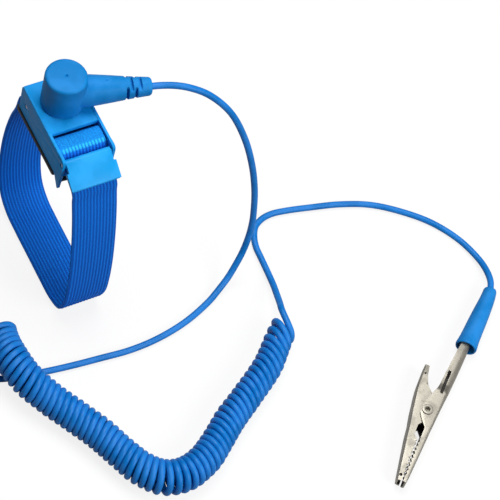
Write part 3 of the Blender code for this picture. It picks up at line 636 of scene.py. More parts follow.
def turned(name, profile, place=(0, 0, 0), axis=(0, 0, 1), sides=48):
    """A solid turned from (radius, height) points. One that starts off the axis is closed into a ring."""
    hollow = profile[0][0] > 0
    swing = Vector(axis).to_track_quat("Z", "Y")
    rings = [
        [
            Vector(place) + swing @ Vector((max(r, 1e-6) * cos(a), max(r, 1e-6) * sin(a), h))
            for a in circle(sides)
        ]
        for r, h in (profile + profile[:1] if hollow else profile)
    ]
    piece = skin(name, rings, capped=not hollow)
    work(piece, everywhere, merged, facing_out)
    smooth(piece)
    return piece


def plated(name, colour, roughness, scratches=0.5):
    """Plated or drawn metal: fine rubbed lines, faint stains, and a softer gloss where it is handled."""
    metal = Finish(name, colour, roughness, 1.0)
    place = metal.place()
    stains = metal.between(metal.noise(place, 210, 3), 0.42, 0.68)
    lines = metal.noise(metal.place((900, 900, 9000)), 1.0, 3)
    pits = metal.between(metal.noise(place, 3600, 2), 0.66, 0.74)
    dull = tuple(c * 0.72 for c in colour)
    shown = metal.mix(stains * 0.5, colour, dull)
    shown = metal.mix(pits * 0.35, shown, tuple(c * 0.4 for c in colour))
    metal.shade(
        Base_Color=shown,
        Roughness=roughness + 0.12 * stains + 0.10 * scratches * lines,
        Normal=metal.bump(lines * scratches - 0.5 * pits, 0.000012),
    )
    return metal.material


nickel = plated("nickel_plate", (0.60, 0.575, 0.53), 0.24)
bright_steel = plated("bright_steel", (0.52, 0.53, 0.54), 0.28, 0.9)
tinned = plated("tinned_wire", (0.66, 0.62, 0.56), 0.3)
socket_low, socket_top, socket_radius, socket_wall = 0.0011, 0.0054, 0.0053, 0.0005
stud_radius, stud_low, stud_high, rivet_radius = 0.0034, 0.0803, 0.0844, 0.0015
wire_radius = 0.0003


def head_point(x, y, z):
    return head_place + Matrix.Rotation(head_turn, 3, "Z") @ Vector((x, y, z))


def new_press_stud():
    inner = socket_radius - socket_wall
    socket = turned("press_socket", [
        (0, socket_top),
        *near((socket_radius, socket_top), (-0.0009, 0), (-0.0003, -0.0002), (0, -0.0006)),
        *near((socket_radius, socket_low), (0, 0.0003), (-0.0002, 0)),
        *near((inner, socket_low), (-0.0003, 0), (-0.0005, 0.0002), (-0.0004, 0.0005), (0, 0.0006)),
        *near((inner, socket_top), (0, -0.0007), (-0.0002, -0.0005)),
        (0, socket_top - socket_wall),
    ], head_place)
    fit(socket, "head", nickel, "nickel", "snap_socket")

    ring_radius = inner - 0.0006
    ring = [
        head_point(ring_radius * cos(a), ring_radius * sin(a), socket_low + 0.0011)
        for a in (radians(15 + 330 * i / 80) for i in range(81))
    ]
    fit(tube("press_ring", ring, wire_radius, 10), "head", bright_steel, "steel", "socket_spring")

    stud = turned("press_stud", [
        (0, stud_high),
        *near(
            (stud_radius, stud_high), (-0.0012, 0), (-0.0005, -0.0002), (-0.0001, -0.0006), (0, -0.0011),
            (-0.0001, -0.0016), (-0.0006, -0.0024),
        ),
        *near(
            (stud_radius, stud_low), (-0.0006, 0.0008), (-0.0004, 0.0005), (0.0011, 0.0004),
            (0.0013, 0.0002), (0.0013, 0),
        ),
        (rivet_radius + 0.0003, stud_low), (rivet_radius + 0.0003, stud_high - 0.0018),
        (0, stud_high - 0.0018),
    ], head_place - Vector((0, 0, head_place.z)))
    fit(stud, "strap", nickel, "nickel", "snap_stud")


resistor_start, resistor_length, resistor_radius = 0.0092, 0.0063, 0.00115
crimp_start, crimp_length = resistor_start + resistor_length + 0.0034, 0.0042


def resin():
    """Baked resin with the colour rings of one megohm, ten per cent."""
    coat, shade = (0.62, 0.47, 0.28), (0.45, 0.33, 0.18)
    rings = (
        (0.0017, (0.28, 0.12, 0.05)), (0.0031, (0.02, 0.02, 0.02)),
        (0.0044, (0.05, 0.35, 0.08)), (0.0066, (0.55, 0.36, 0.08)),
    )
    half, blur = 0.00024, 0.00006
    finish = Finish("resistor_coat", coat, 0.35)
    surface = finish.node("TexCoord", {}, out="UV")
    distance = finish.node("SeparateXYZ", {}, surface, out="Y")
    shown = finish.mix(finish.noise(finish.place(), 900, 2) * 0.3, coat, shade)
    for middle, colour in rings:
        beyond = finish.between(distance, middle - half - blur, middle - half)
        before = finish.between(distance, middle + half, middle + half + blur, 1.0, 0.0)
        shown = finish.mix(beyond * before, shown, colour)
    finish.shade(Base_Color=shown, Normal=finish.bump(finish.noise(finish.place(), 2400, 2), 0.00002))
    return finish.material


def new_lead(name, node, *route):
    """A tinned wire through points on the neck's middle plane, each a distance along it and a height."""
    path = flowing([head_point(x, 0, z) for x, z in route], 0.0003)
    fit(tube(name, path, wire_radius, 10), "head", tinned, "tinned_copper", node)


def new_resistor():
    along = head_point(1, 0, neck_height) - head_point(0, 0, neck_height)
    end = [(0, 0), *near(
        (resistor_radius, 0), (-0.0004, 0), (-0.0001, 0.0002), (0, 0.0005), (0, 0.0011),
        (-0.00006, 0.0014), (-0.0002, 0.0019),
    )]
    body = turned(
        "safety_resistor", both_ends(end, resistor_length), head_point(resistor_start, 0, neck_height),
        along, 40,
    )
    fit(body, "head", resin(), "resin", "resistor_body")
    top = socket_top + 0.0006
    new_lead(
        "socket_lead", "resistor_lead_socket",
        (0.0026, top), (0.0040, top), (0.0052, top - 0.00005), (0.0070, neck_height + 0.0002),
        (resistor_start - 0.0003, neck_height),
    )
    new_lead(
        "cord_side_lead", "resistor_lead_cord",
        (resistor_start + resistor_length + 0.0003, neck_height), (crimp_start - 0.0003, neck_height),
    )
    end = [(0, 0), (0.0010, 0), (0.0012, 0.0002), (0.0012, 0.0008), (0.0009, 0.0014)]
    profile = both_ends(end, crimp_length)
    crimp = turned("cord_crimp", profile, head_point(crimp_start, 0, neck_height), along, 32)
    fit(crimp, "head", nickel, "nickel", "cord_ferrule")


new_press_stud()
new_resistor()


# -------- buckle housing
# One moulding in satin blue plastic: two side walls with pointed front ears, the deck that carries the
# stud, the bridge and bar that the band runs over, and the back wall with the slot for its fixed end.
strap_place = Vector((-0.00969, 0.00900, 0))
buckle_back, buckle_front = 0.01035, -0.02215
buckle_half, buckle_wall = 0.0095, 0.0010
deck_z, housing_floor = 0.0800, 0.0679
room_half = buckle_half - buckle_wall
lever_y, lever_z, lever_pin_radius = -0.0213, 0.0768, 0.0007
bridge_front, bridge_back, bridge_top = -0.0176, -0.0129, 0.0770
anchor_y, anchor_z, anchor_radius = 0.0060, 0.0732, 0.0009
ear_depth, ear_drop = 0.0042, 0.0044
pin_play, rivet_play, weld = 0.0002, 0.0003, 0.0001
far_corner = (0.07, 0.13, 0.29)
by_distance = {"type": "CURSOR_DISTANCE", "elements": {"VERT", "EDGE", "FACE"}}


def flatten(piece):
    """Merges the faces that lie in one plane. They are first sorted by their distance from a far corner,
    because a boolean can give them in another order each time."""
    bpy.context.scene.cursor.location = far_corner
    work(
        piece, everywhere, merged, (bpy.ops.mesh.sort_elements, by_distance),
        (bpy.ops.mesh.dissolve_limited, {"angle_limit": radians(0.5)}),
    )


def crosswise(middle, along):
    return abs(along.x) > 0.9


def softened(piece, width, segments=2, angle=50):
    """Breaks all sharp edges of a finished shape, and shades it."""
    finish_with(
        piece, "BEVEL", width=width, segments=segments, limit_method="ANGLE",
        angle_limit=radians(angle),
    )
    smooth(piece, 32)


def drill_for_pin(piece, y, z, radius):
    drill(piece, (-0.02, y, z), (0.02, y, z), radius + pin_play)


def new_wall(side):
    """A side wall. Its lower front corner is drawn down into a pointed ear."""
    inner, outer = side * room_half, side * buckle_half
    front = buckle_front - 0.0003
    ear_back, cheek_low = buckle_front + ear_depth, deck_z - 0.0055
    wall = block("wall", (min(inner, outer), front, housing_floor), (max(inner, outer), buckle_back, deck_z))
    for point, normal in (((0, ear_back, 0), (0, 1, 0)), ((0, 0, cheek_low), (0, 0, 1))):
        work(wall, everywhere, (bpy.ops.mesh.bisect, {"plane_co": point, "plane_no": normal}))
    work(
        wall, lambda middle, along: middle.y < front + 1e-5 and middle.z < housing_floor + 1e-5,
        moved(0, 0.00066, 0), kind="EDGE",
    )
    work(
        wall, lambda middle, normal: normal.z < -0.9 and middle.y < ear_back - 0.0002,
        extruded(0, 0, -ear_drop), scaled((1, 0.14, 1), (0, buckle_front + 0.0008, 0)),
    )
    for y, z, radius in (
        (buckle_back, deck_z, 0.0014), (front, deck_z, 0.0018), (buckle_back, housing_floor, 0.0006),
        (ear_back, housing_floor, 0.0009), (front, cheek_low, 0.0016),
    ):
        def corner(middle, along):
            return crosswise(middle, along) and hypot(middle.y - y, middle.z - z) < 1e-4

        rounded(wall, corner, radius, 5)

    def top_rim(middle, along):
        outside = abs(abs(middle.x) - buckle_half) < 1e-5
        return abs(along.y) > 0.9 and middle.z > deck_z - 1e-5 and outside

    rounded(wall, top_rim, 0.00045, 3)
    return wall


def new_housing():
    housing = new_wall(-1)
    housing.name = "buckle_frame"
    combine(housing, new_wall(1), "UNION")
    reach = room_half + 0.0005
    slot_back = bridge_back + 0.0023
    slot_low, slot_high = anchor_z - 0.0036, anchor_z - 0.0007
    wall_front, wall_back = buckle_back - 0.0015, buckle_back - 0.0002
    low = housing_floor + weld
    deck = block(
        "deck", (-reach, slot_back, deck_z - 0.0018), (reach, buckle_back - 0.0010, deck_z - 0.00018),
    )
    rounded(
        deck, lambda middle, along: (
            crosswise(middle, along) and middle.y < slot_back + 1e-4 and middle.z > deck_z - 0.001
        ), 0.0004, 3,
    )
    bridge = block("bridge", (-reach, bridge_front, bridge_top - 0.0020), (reach, bridge_back, bridge_top))
    rounded(
        bridge, lambda middle, along: crosswise(middle, along) and middle.z > bridge_top - 1e-4, 0.0011, 5,
    )
    bar_y, bar_z = buckle_front + 0.00115, deck_z - 0.0080
    for other in (
        deck, bridge,
        block("middle", (-reach, -0.0032, low), (reach, 0.0027, deck_z - 0.0010)),
        block("lintel", (-reach, wall_front, slot_high), (reach, wall_back, deck_z - 0.0004)),
        block("sill", (-reach, wall_front, low), (reach, wall_back, slot_low)),
        rod("bar", (-reach, bar_y, bar_z), (reach, bar_y, bar_z), 0.0013, 40),
    ):
        combine(housing, other, "UNION")
    drill(housing, (0, 0, housing_floor - 0.001), (0, 0, deck_z + 0.001), rivet_radius + rivet_play, 48)
    drill_for_pin(housing, lever_y, lever_z, lever_pin_radius)
    drill_for_pin(housing, anchor_y, anchor_z, anchor_radius)
    flatten(housing)
    softened(housing, 0.00014)
    put_at(housing, strap_place, 0)
    return housing


housing_blue = moulded("housing_blue", (0.004, 0.31, 0.78), 0.38, grain=0.00004, gloss=0.08)
fit(new_housing(), "strap", housing_blue, "blue_plastic", "buckle_housing")


# -------- clamp lever
# The clamp's flap: moulded with its barrel and arm in one piece, in the same plastic as the housing.
# It turns on a steel pin, and presses the band against the bridge when it is down.
def new_lever():
    """The flap is drawn level, with its pin at the origin, and is turned down onto its pin at the end."""
    barrel_radius, length, thickness = 0.0014, 0.0096, 0.0018
    half, low = room_half - 0.0003, barrel_radius - thickness
    closed_turn, lift = radians(32), 0.00015
    lever = block("thumb_lever", (-0.0089, -length, low), (0.0089, -0.0033, barrel_radius))
    work(lever, lambda middle, normal: normal.y < -0.9, scaled((1, 1, 0.72), (0, 0, barrel_radius)))
    rounded(lever, lambda middle, along: crosswise(middle, along) and middle.y < -length + 1e-5, 0.0005, 4)
    rounded(lever, lambda middle, along: abs(along.z) > 0.6 and middle.y < -length + 0.001, 0.0006, 4)
    arm = block("arm", (-half + weld, -0.0046, low + 0.0002), (half - weld, 0.0002, barrel_radius))
    combine(lever, arm, "UNION")
    combine(lever, rod("barrel", (-half, 0, 0), (half, 0, 0), barrel_radius, 64), "UNION")
    drill_for_pin(lever, 0, 0, lever_pin_radius)
    flatten(lever)
    softened(lever, 0.00015)
    lever.data.transform(
        Matrix.Translation(strap_place + Vector((0, lever_y, lever_z + lift)))
        @ Matrix.Rotation(closed_turn, 4, "X")
    )
    return lever


# The flap's blue is a slightly paler copy of the housing's blue: painted light for the sloping flap, which
# catches more light.
lever_lit_blue = moulded("lever_lit_blue", (0.006, 0.33, 0.78), 0.36, grain=0.00003)
fit(new_lever(), "lever", lever_lit_blue, "blue_plastic", "clamp_lever")


# -------- pins and rivet
# Drawn steel pins pressed across the housing for the lever and for the band's fixed end, and the rivet
# that holds stud, housing, base and contact plate together.
def new_pins():
    reach = buckle_half - 0.0002
    for name, node, y, z, radius in (
        ("hinge_pin", "lever_pin", lever_y, lever_z, lever_pin_radius),
        ("anchor_pin", "band_anchor_pin", anchor_y, anchor_z, anchor_radius),
    ):
        profile = both_ends([(0, 0), (radius - 0.0002, 0), (radius, 0.0002)], 2 * reach)
        pin = turned(name, profile, strap_place + Vector((-reach, y, z)), (1, 0, 0), 40)
        fit(pin, "strap", bright_steel, "steel", node)
    low, high = 0.06525, 0.0823
    rivet = turned("through_rivet", [
        (0, high), (rivet_radius - 0.0003, high), (rivet_radius, high - 0.0003),
        (rivet_radius, low + 0.00045),
        *near(
            (0, low), (0.0029, 0.00015), (0.0029, 0.0001), (0.0027, 0), (0.0016, 0.00005),
            (0.0009, 0.0002), (0, 0.0002),
        ),
    ], strap_place)
    fit(rivet, "strap", bright_steel, "steel", "stud_rivet")


new_pins()


# -------- base and contact plate
# A black moulded base closes the housing from below, and a stamped stainless plate under it is the
# strap's contact. The rivet's flush head holds both.
base_low, base_high, plate_low, plate_thickness = 0.0660, 0.0676, 0.0652, 0.0005


def standing(middle, along):
    return abs(along.z) > 0.9


def new_base():
    base = block(
        "black_base", (-0.0099, buckle_front + 0.0045, base_low), (0.0099, buckle_back + 0.0011, base_high),
    )
    rounded(base, standing, 0.0007, 4)
    half = room_half - 0.0003
    tongue = block("tongue", (-half, buckle_front + 0.0012, base_low), (half, 0, base_high))
    combine(base, tongue, "UNION")
    drill(base, (0, 0, 0.065), (0, 0, 0.069), rivet_radius + rivet_play, 40)
    softened(base, 0.0003, 3, 40)
    put_at(base, strap_place, 0)
    black = moulded("black_base", (0.012, 0.012, 0.014), 0.46, speckle=0.02, grain=0.00005)
    fit(base, "strap", black, "black_plastic", "base_pad")


def new_contact_plate():
    half = room_half - 0.0008
    plate = block(
        "skin_contact", (-half, buckle_front + 0.0015, plate_low),
        (half, buckle_back - 0.0008, plate_low + plate_thickness),
    )
    rounded(plate, standing, 0.0016, 6)
    drill(plate, (0, 0, 0.064), (0, 0, 0.067), 0.0032, 48)
    softened(plate, 0.00012, 2, 40)
    put_at(plate, strap_place, 0)
    steel = Finish("brushed_plate", (0.50, 0.50, 0.50), 0.3, 1.0)
    brushed = steel.noise(steel.place((9000, 160, 160)), 1.0, 4, 0.7)
    worn = steel.between(steel.noise(steel.place(), 120, 3), 0.4, 0.7)
    steel.shade(
        Base_Color=steel.mix(worn * 0.5, (0.56, 0.56, 0.56), (0.38, 0.38, 0.38)),
        Roughness=0.22 + 0.18 * brushed + 0.12 * worn,
        Normal=steel.bump(brushed, 0.00001),
    )
    fit(plate, "strap", steel.material, "steel", "contact_plate")


new_base()
new_contact_plate()


# -------- elastic band
# Woven elastic webbing with lengthwise ribs, folded round the anchor pin at the back, run round in a loop,
# and led under the lever and over the bridge into the slot. Over the bridge it is stretched flat, and
# painted paler there as painted light.
band_width, band_thickness, rib_count = 0.0164, 0.0014, 13
selvedge = 0.0005
rib_step = (band_width - 2 * selvedge) / rib_count
ring_spacing, stretched_length = 0.0006, 0.0172
rib_top, rib_depth = 0.86, 0.14


def cut_across(ribbed):
    """The band's outline: places across it, and shares of half its thickness. Pulled ribs are lower."""
    half, samples = band_width / 2, 6 * rib_count
    corner = [radians(d) for d in (0, 35, 65)]
    upper = [(-half + 0.5 * selvedge * (1 - cos(a)), 0.72 * sin(a)) for a in corner]
    for step in range(samples + 1):
        x = -half + selvedge + rib_count * rib_step * step / samples
        upper.append((x, rib_top - ribbed * rib_depth * cos(2 * pi * rib_count * step / samples)))
    upper += [(-x, h) for x, h in reversed(upper[1:3])] + [(half, 0)]
    return upper + [(-x, -h) for x, h in upper[1:-1]]


def new_band():
    wrap, front, back, low = 0.0019, -0.0377, 0.0197, 0.00077
    top = bridge_top + 0.0015
    fold = [
        (anchor_y + wrap * cos(a), anchor_z + wrap * sin(a))
        for a in (radians(d) for d in (90, 135, 180, 225, 270))
    ]
    route = [
        (anchor_y + 0.0019, anchor_z + 0.0011), *fold,
        *near(
            (buckle_back, anchor_z), (-0.0020, -0.0021), (0.0002, -0.0023), (0.0022, -0.0038),
            (0.0031, -0.0066),
        ),
        (buckle_back + 0.0040, 0.0610),
        *near(
            (back, 0), (-0.0028, 0.0520), (-0.0006, 0.0390), (0, 0.0260), (-0.0012, 0.0135),
            (-0.0048, 0.0051),
        ),
        (back - 0.0108, low + 0.0007), (0.0010, low), (-0.0090, low), (-0.0190, low),
        (front + 0.0098, low + 0.0004),
        *near(
            (front, 0), (0.0034, 0.0042), (0.0005, 0.0115), (0, 0.0200), (0.0008, 0.0327),
            (0.0031, 0.0473), (0.0058, 0.0590),
        ),
        *near(
            (lever_y, lever_z), (-0.0085, -0.0105), (-0.0080, -0.0078), (-0.0061, -0.0057),
            (-0.0032, -0.0038), (-0.0008, -0.0027), (0.00145, -0.00215), (0.0025, -0.000625),
        ),
        (bridge_front - 0.0003, top - 0.0006), (bridge_front + 0.0012, top),
        *near(
            (bridge_back, top), (-0.0006, 0), (0.0007, -0.0004), (0.0013, -0.0018), (0.0014, -0.0037),
            (0.0026, -0.0052), (0.0046, -0.0056),
        ),
        (-0.0041, top - 0.0056),
    ]
    line = flowing([(0, y, z) for y, z in route], ring_spacing)
    plain, pulled = cut_across(1), cut_across(0.4)
    first_pulled = len(line) - ceil(stretched_length / ring_spacing)
    rings = []
    for index, point in enumerate(line):
        ahead = heading(line, index)
        out = 0.5 * band_thickness * Vector((0, -ahead.z, ahead.y))
        section = plain if index < first_pulled else pulled
        rings.append([strap_place + point + Vector((x, 0, 0)) + h * out for x, h in section])
    across = [x + band_width / 2 for x, h in plain + plain[:1]]
    band = skin("webbing_band", rings, around=across)
    work(band, everywhere, facing_out)
    length = sum((b - a).length for a, b in zip(line, line[1:]))
    return band, length


def woven(name):
    """Knitted elastic with fine stitches along each rib, and painted shade that darkens the grooves between
    the pale rib crests. Over the bridge, where it is pulled, it is flecked and painted paler as painted
    light, and a painted highlight runs in a row across the crests where the pulled part begins."""
    webbing = Finish(name, (0.003, 0.12, 0.60), 0.78, Specular_IOR_Level=0.18)
    surface = webbing.node("TexCoord", {}, out="UV")
    across = webbing.node("SeparateXYZ", {}, surface, out="X")
    along = webbing.node("SeparateXYZ", {}, surface, out="Y")
    turn, pulled = 2 * pi, band_length - stretched_length
    stitch_length, thread_width, thread_slant = 0.0007, 0.00016, 0.0012
    rib = webbing.node("Math", {"operation": "COSINE"}, (across - selvedge) * (turn / rib_step))
    crest = 0.5 - 0.5 * rib
    number = webbing.node("Math", {"operation": "FLOOR"}, (across - selvedge) * (1 / rib_step))
    stitch = webbing.node("Math", {"operation": "SINE"}, along * (turn / stitch_length) + number * pi)
    slanting = across * (turn / thread_width) + along * (turn / thread_slant)
    threads = webbing.node("Math", {"operation": "SINE"}, slanting)
    fluff = webbing.noise(webbing.place(), 3200, 3, 0.65)
    uneven = webbing.noise(webbing.place((90, 90, 90)), 1.0, 2)
    # Painted shade: the rib grooves are coloured darker and the crests paler, mixed with the knit's
    # stitches, threads and fluff.
    light = webbing.between(crest * 0.8 + 0.12 * stitch + 0.10 * threads + 0.25 * fluff, 0.15, 1.05)
    shown = webbing.mix(light, (0.0010, 0.088, 0.47), (0.003, 0.235, 0.93))
    shown = webbing.mix(uneven * 0.35, shown, (0.0010, 0.13, 0.66))
    # Painted light: over the bridge the band is painted paler, with flecks from the knit's fluff.
    pale_lit_flecks = webbing.mix(webbing.between(fluff, 0.40, 0.60), (0.003, 0.19, 0.60), (0.006, 0.34, 0.84))
    shown = webbing.mix(webbing.between(along, pulled - 0.0008, pulled + 0.0004, 0, 0.8), shown, pale_lit_flecks)
    # A painted highlight: a bright row across the rib crests where the pulled part begins.
    row_start = webbing.between(along, pulled - 0.0006, pulled)
    row_end = webbing.between(along, pulled + 0.0006, pulled + 0.0012, 1, 0)
    shown = webbing.mix(row_start * row_end * crest, shown, (0.03, 0.55, 1.0))
    webbing.shade(
        Base_Color=shown, Roughness=0.68 + 0.2 * fluff,
        Normal=webbing.bump(crest * (0.5 * stitch + 0.3 * threads) + 0.3 * fluff, 0.000035),
    )
    return webbing.material


band, band_length = new_band()
fit(band, "strap", woven("webbing"), "webbing", "elastic_band")


# -------- crocodile clip
# Two jaws pressed from thin nickel-plated sheet, each bent to a U with teeth along its edges. The fixed
# one narrows to the tail that holds the cord, and the other ends in a lever. Both turn on a rivet.
clip_place = Matrix.Translation((0.0853, -0.1116, 0.0043)) @ Matrix.Rotation(radians(-140.6), 4, "Z")
cheek, sheet = 0.0040, 0.0006
rivet_hole = 0.0014
clip_nickel = plated("clip_nickel", (0.46, 0.433, 0.37), 0.46, 0.8)
# clip_painted_shade is a dark copy of the nickel, laid on the jaws' inner faces as painted shade inside the
# U.
clip_painted_shade = plated("clip_painted_shade", (0.10, 0.095, 0.085), 0.60, 0.5)


def pressed(name, stations, teeth_start, teeth_end, teeth, tooth_depth):
    """A sheet bent to a U, with teeth along its edges between two distances. Each station is a distance, a
    half width, the heights of spine and edge, and a bend radius."""
    tooth_steps, bend_steps, spacing, nearest = 6, 8, 0.0008, 0.0003

    def station(x):
        after = next(s for s in stations[1:] if s[0] >= x - 1e-9)
        before = stations[stations.index(after) - 1]
        share = (x - before[0]) / (after[0] - before[0])
        return [a + (b - a) * share for a, b in zip(before, after)]

    def row_at(x):
        _, half, spine, edge, radius = station(x)
        side = 1 if spine > edge else -1
        if teeth_start < x < teeth_end:
            phase = (x - teeth_start) / (tooth_steps * step) % 1
            edge += side * tooth_depth * (0.5 - abs(2 * phase - 1))
        row = [(x, edge + (spine - side * radius - edge) * i / 3, -half) for i in range(3)]
        for i in range(bend_steps + 1):
            a = pi / 2 * i / bend_steps
            row.append((x, spine - side * radius * (1 - sin(a)), -half + radius * (1 - cos(a))))
        return row + [(x, y, -z) for x, y, z in reversed(row)]

    step = (teeth_end - teeth_start) / (tooth_steps * teeth)
    places = [s[0] for s in stations] + [teeth_start + step * i for i in range(tooth_steps * teeth + 1)]
    start, end = stations[0][0], stations[-1][0]
    for i in range(int((end - start) / spacing) + 1):
        x = start + spacing * i
        if not teeth_start < x < teeth_end and all(abs(x - s[0]) > nearest for s in stations):
            places.append(x)
    rows = [row_at(x) for x in sorted({round(x, 6) for x in places})]
    count = len(rows[0])
    mesh = bpy.data.meshes.new(name)
    mesh.from_pydata(
        [p for row in rows for p in row], [],
        [
            (r * count + i, r * count + i + 1, (r + 1) * count + i + 1, (r + 1) * count + i)
            for r in range(len(rows) - 1) for i in range(count - 1)
        ],
    )
    piece = bpy.data.objects.new(name, mesh)
    bpy.context.scene.collection.objects.link(piece)
    work(piece, everywhere, facing_out)
    spine_side = sum(f.normal.y * f.area for f in mesh.polygons if abs(f.normal.y) > 0.9)
    if spine_side * (stations[0][2] - stations[0][3]) < 0:
        mesh.flip_normals()
    # The solidified inner shell takes the dark painted shade, and the outer faces and rims keep the nickel.
    for face_finish in (clip_nickel, clip_painted_shade):
        mesh.materials.append(face_finish)
    finish_with(
        piece, "SOLIDIFY", thickness=sheet, offset=-1, use_even_offset=True, material_offset=1,
        material_offset_rim=0,
    )
    return piece


def finished_jaw(piece):
    drill(piece, (0, 0, -0.01), (0, 0, 0.01), rivet_hole, 40)
    softened(piece, 0.00010)
    piece.data.transform(clip_place)
    return piece


def new_jaws():
    fixed = pressed("tailed_jaw", [
        (-0.0385, 0.0015, 0.0044, 0.0022, 0.0014), (-0.0335, 0.0019, 0.0046, 0.0015, 0.0018),
        (-0.0290, 0.0022, 0.0048, 0.0010, 0.0021), (-0.0200, 0.0023, 0.0048, 0.0006, 0.0021),
        (-0.0132, 0.0026, 0.0047, 0.0004, 0.0020), (-0.0112, 0.0033, 0.00466, 0.0002, 0.0017),
        (-0.0098, cheek, 0.0046, 0.0000, 0.0014), (-0.0055, cheek, 0.0044, -0.0012, 0.0011),
        (-0.0020, cheek, 0.0043, -0.0020, 0.0009), (0.0020, cheek, 0.0042, -0.0020, 0.0009),
        (0.0045, cheek, 0.0042, -0.0004, 0.0009), (0.0070, cheek, 0.0041, 0.0017, 0.0009),
        (0.0120, cheek - 0.0002, 0.0041, 0.0019, 0.0009), (0.0270, 0.0028, 0.0040, 0.0025, 0.0008),
        (0.0292, 0.0024, 0.0038, 0.0026, 0.0006),
    ], 0.0120, 0.0270, 9, 0.0006)
    slot = block("tail_slot", (-0.0056, -0.00055, 0.0), (0.0056, 0.00055, 0.01))
    rounded(slot, standing, 0.0004, 4)
    slot.data.transform(
        Matrix.Translation((-0.0141, 0.0019, 0)) @ Matrix.Rotation(radians(1.5), 4, "Z")
    )
    combine(fixed, slot)
    inner = cheek - sheet - 0.0003
    moving = pressed("lever_jaw", [
        (-0.0176, 0.0026, -0.0072, -0.0056, 0.0006), (-0.0135, inner, -0.0070, -0.0048, 0.0008),
        (-0.0100, inner, -0.0068, -0.0034, 0.0008), (-0.0078, inner, -0.0066, -0.0012, 0.0008),
        (-0.0050, inner, -0.0062, 0.0010, 0.0008), (-0.0018, inner, -0.0056, 0.0021, 0.0008),
        (0.0018, inner, -0.0050, 0.0021, 0.0008), (0.0045, inner, -0.0044, 0.0006, 0.0008),
        (0.0066, inner, -0.0039, -0.0008, 0.0008), (0.0105, inner, -0.0033, -0.0006, 0.0008),
        (0.0122, inner, -0.0030, 0.0010, 0.0008), (0.0270, 0.0024, -0.0001, 0.0019, 0.0006),
        (0.0292, 0.0021, 0.0004, 0.0020, 0.0005),
    ], 0.0122, 0.0270, 9, 0.0006)
    for x, y, radius in ((-0.0138, -0.0058, 0.0005), (0.0272, 0.0009, 0.00055)):
        drill(moving, (x, y, 0), (x, y, 0.01), radius, 24)
    return finished_jaw(fixed), finished_jaw(moving)


def new_clip_rivet():
    radius, outer = 0.0011, cheek + 0.0003
    half = [
        (radius, 0), *near((radius, outer), (0, 0), (0.0009, 0), (0.0008, 0.00018), (0.0004, 0.0003)),
        *near((0, outer), (0.0010, 0.00022), (0.0008, -0.0002), (0.0008, -0.0014), (0, -0.0016)),
    ]
    profile = [(r, -h) for r, h in reversed(half)] + half[1:]
    rivet = turned("clip_rivet", profile, (0, 0, 0), (0, 0, 1), 40)
    rivet.data.transform(clip_place)
    return rivet


def new_clip_spring():
    turns, pitch, around = 3, 0.0009, 0.0017
    first, last = radians(150), radians(150 + 360 * turns + 50)
    steps = 40 * turns
    helix = [
        (around * cos(a), around * sin(a), pitch * turns * (i / steps - 0.5))
        for i in range(steps + 1) for a in [first + (last - first) * i / steps]
    ]
    low, high = helix[0][2], helix[-1][2]
    route = [
        (-0.0085, 0.0030, low), (-0.0050, 0.0026, low), (-0.0026, 0.0018, low), *helix[4:-4:4],
        (-0.0026, -0.0016, high), (-0.0048, -0.0024, high),
    ]
    spring = tube("clip_spring", flowing(route, 0.0003), wire_radius, 10)
    spring.data.transform(clip_place)
    return spring


tailed_jaw, lever_jaw = new_jaws()
for jaw, body, node in ((tailed_jaw, "cord", "fixed_jaw"), (lever_jaw, "jaw", "moving_jaw")):
    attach(jaw, body)
    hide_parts(node)
clip_rivet = new_clip_rivet()
fit(clip_rivet, "cord", clip_nickel, "nickel", "jaw_rivet")
fit(new_clip_spring(), "cord", bright_steel, "steel", "jaw_spring")


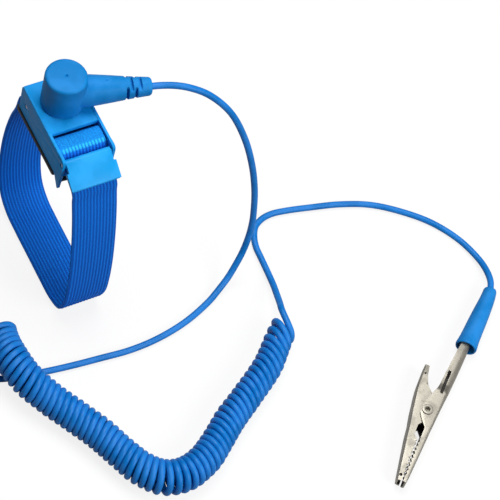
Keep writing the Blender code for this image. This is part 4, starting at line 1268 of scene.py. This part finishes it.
# -------- clip sleeve and conductor
# A soft blue sleeve pushed over the clip's tail from the cord's side, open at its wide mouth. The cord's
# stripped, tinned end lies inside it in the jaw's tail. Its narrow end follows the cord's bend.
def new_sleeve():
    mouth, side, bend_start, bend = -0.0326, 0.0034, 0.020, 0.16
    length = 0.0275
    outside = [
        (0, 0.00385), (0.0003, 0.0040), (0.0010, 0.0040), (0.0035, 0.0037), (0.0080, 0.0035),
        (0.0125, 0.00335), (0.0175, 0.0031), (0.0220, 0.0028), (0.0255, 0.00255), (0.0269, 0.0024),
        (0.0274, 0.0021), (length, 0.0018),
    ]
    inside = [
        (length, 0.0017), (0.0170, 0.0015), (0.0150, 0.0019), (0.0080, 0.0025), (0.0035, 0.0028),
        (0.0004, 0.00315), (0, 0.0033),
    ]
    rings, spread = [], []
    for profile, spacing in ((outside, 0.0006), (inside, 0.0012)):
        spread += flowing([(d, r, 0) for d, r in profile], spacing)
    for distance, radius, _ in spread + spread[:1]:
        over = max(0.0, distance - bend_start)
        turn = bend * (over / (length - bend_start)) ** 1.5
        axis = Vector((-cos(turn), -sin(turn), 0))
        middle = Vector((mouth - distance, side - 0.4 * over * turn, 0))
        across = axis.cross(Vector((0, 0, 1)))
        rings.append([
            middle + radius * (cos(a) * across + Vector((0, 0, sin(a))))
            for a in circle(48)
        ])
    sleeve = skin("soft_sleeve", rings, capped=False)
    work(sleeve, everywhere, merged, facing_out)
    smooth(sleeve, 50)
    sleeve.data.transform(clip_place)
    return sleeve


def new_conductor():
    """Six fine strands wound loosely round a seventh."""
    line = flowing([(-0.0491, 0.0032, 0), (-0.0300, 0.0030, 0), (-0.0240, 0.0030, 0)], 0.0006)
    strand_radius, wind = 0.00020, 500
    strands = []
    for number in range(7):
        around, reach = 2 * pi * number / 6, 0.00037 if number else 0.0
        path = []
        for p in line:
            angle = around + wind * p.x
            path.append(p + reach * Vector((0, cos(angle), sin(angle))))
        strands.append(tube("strand", path, strand_radius, 8))
    choose(strands[0])
    for strand in strands[1:]:
        strand.select_set(True)
    bpy.ops.object.join()
    conductor = strands[0]
    conductor.name = conductor.data.name = "stripped_end"
    conductor.data.transform(clip_place)
    return conductor


soft_sleeve = new_sleeve()
sleeve_blue = moulded("sleeve_blue", (0.006, 0.21, 0.60), 0.45, grain=0.00004)
fit(soft_sleeve, "cord", sleeve_blue, "blue_soft", "clip_sleeve")
fit(new_conductor(), "cord", tinned, "tinned_copper", "cord_conductor")
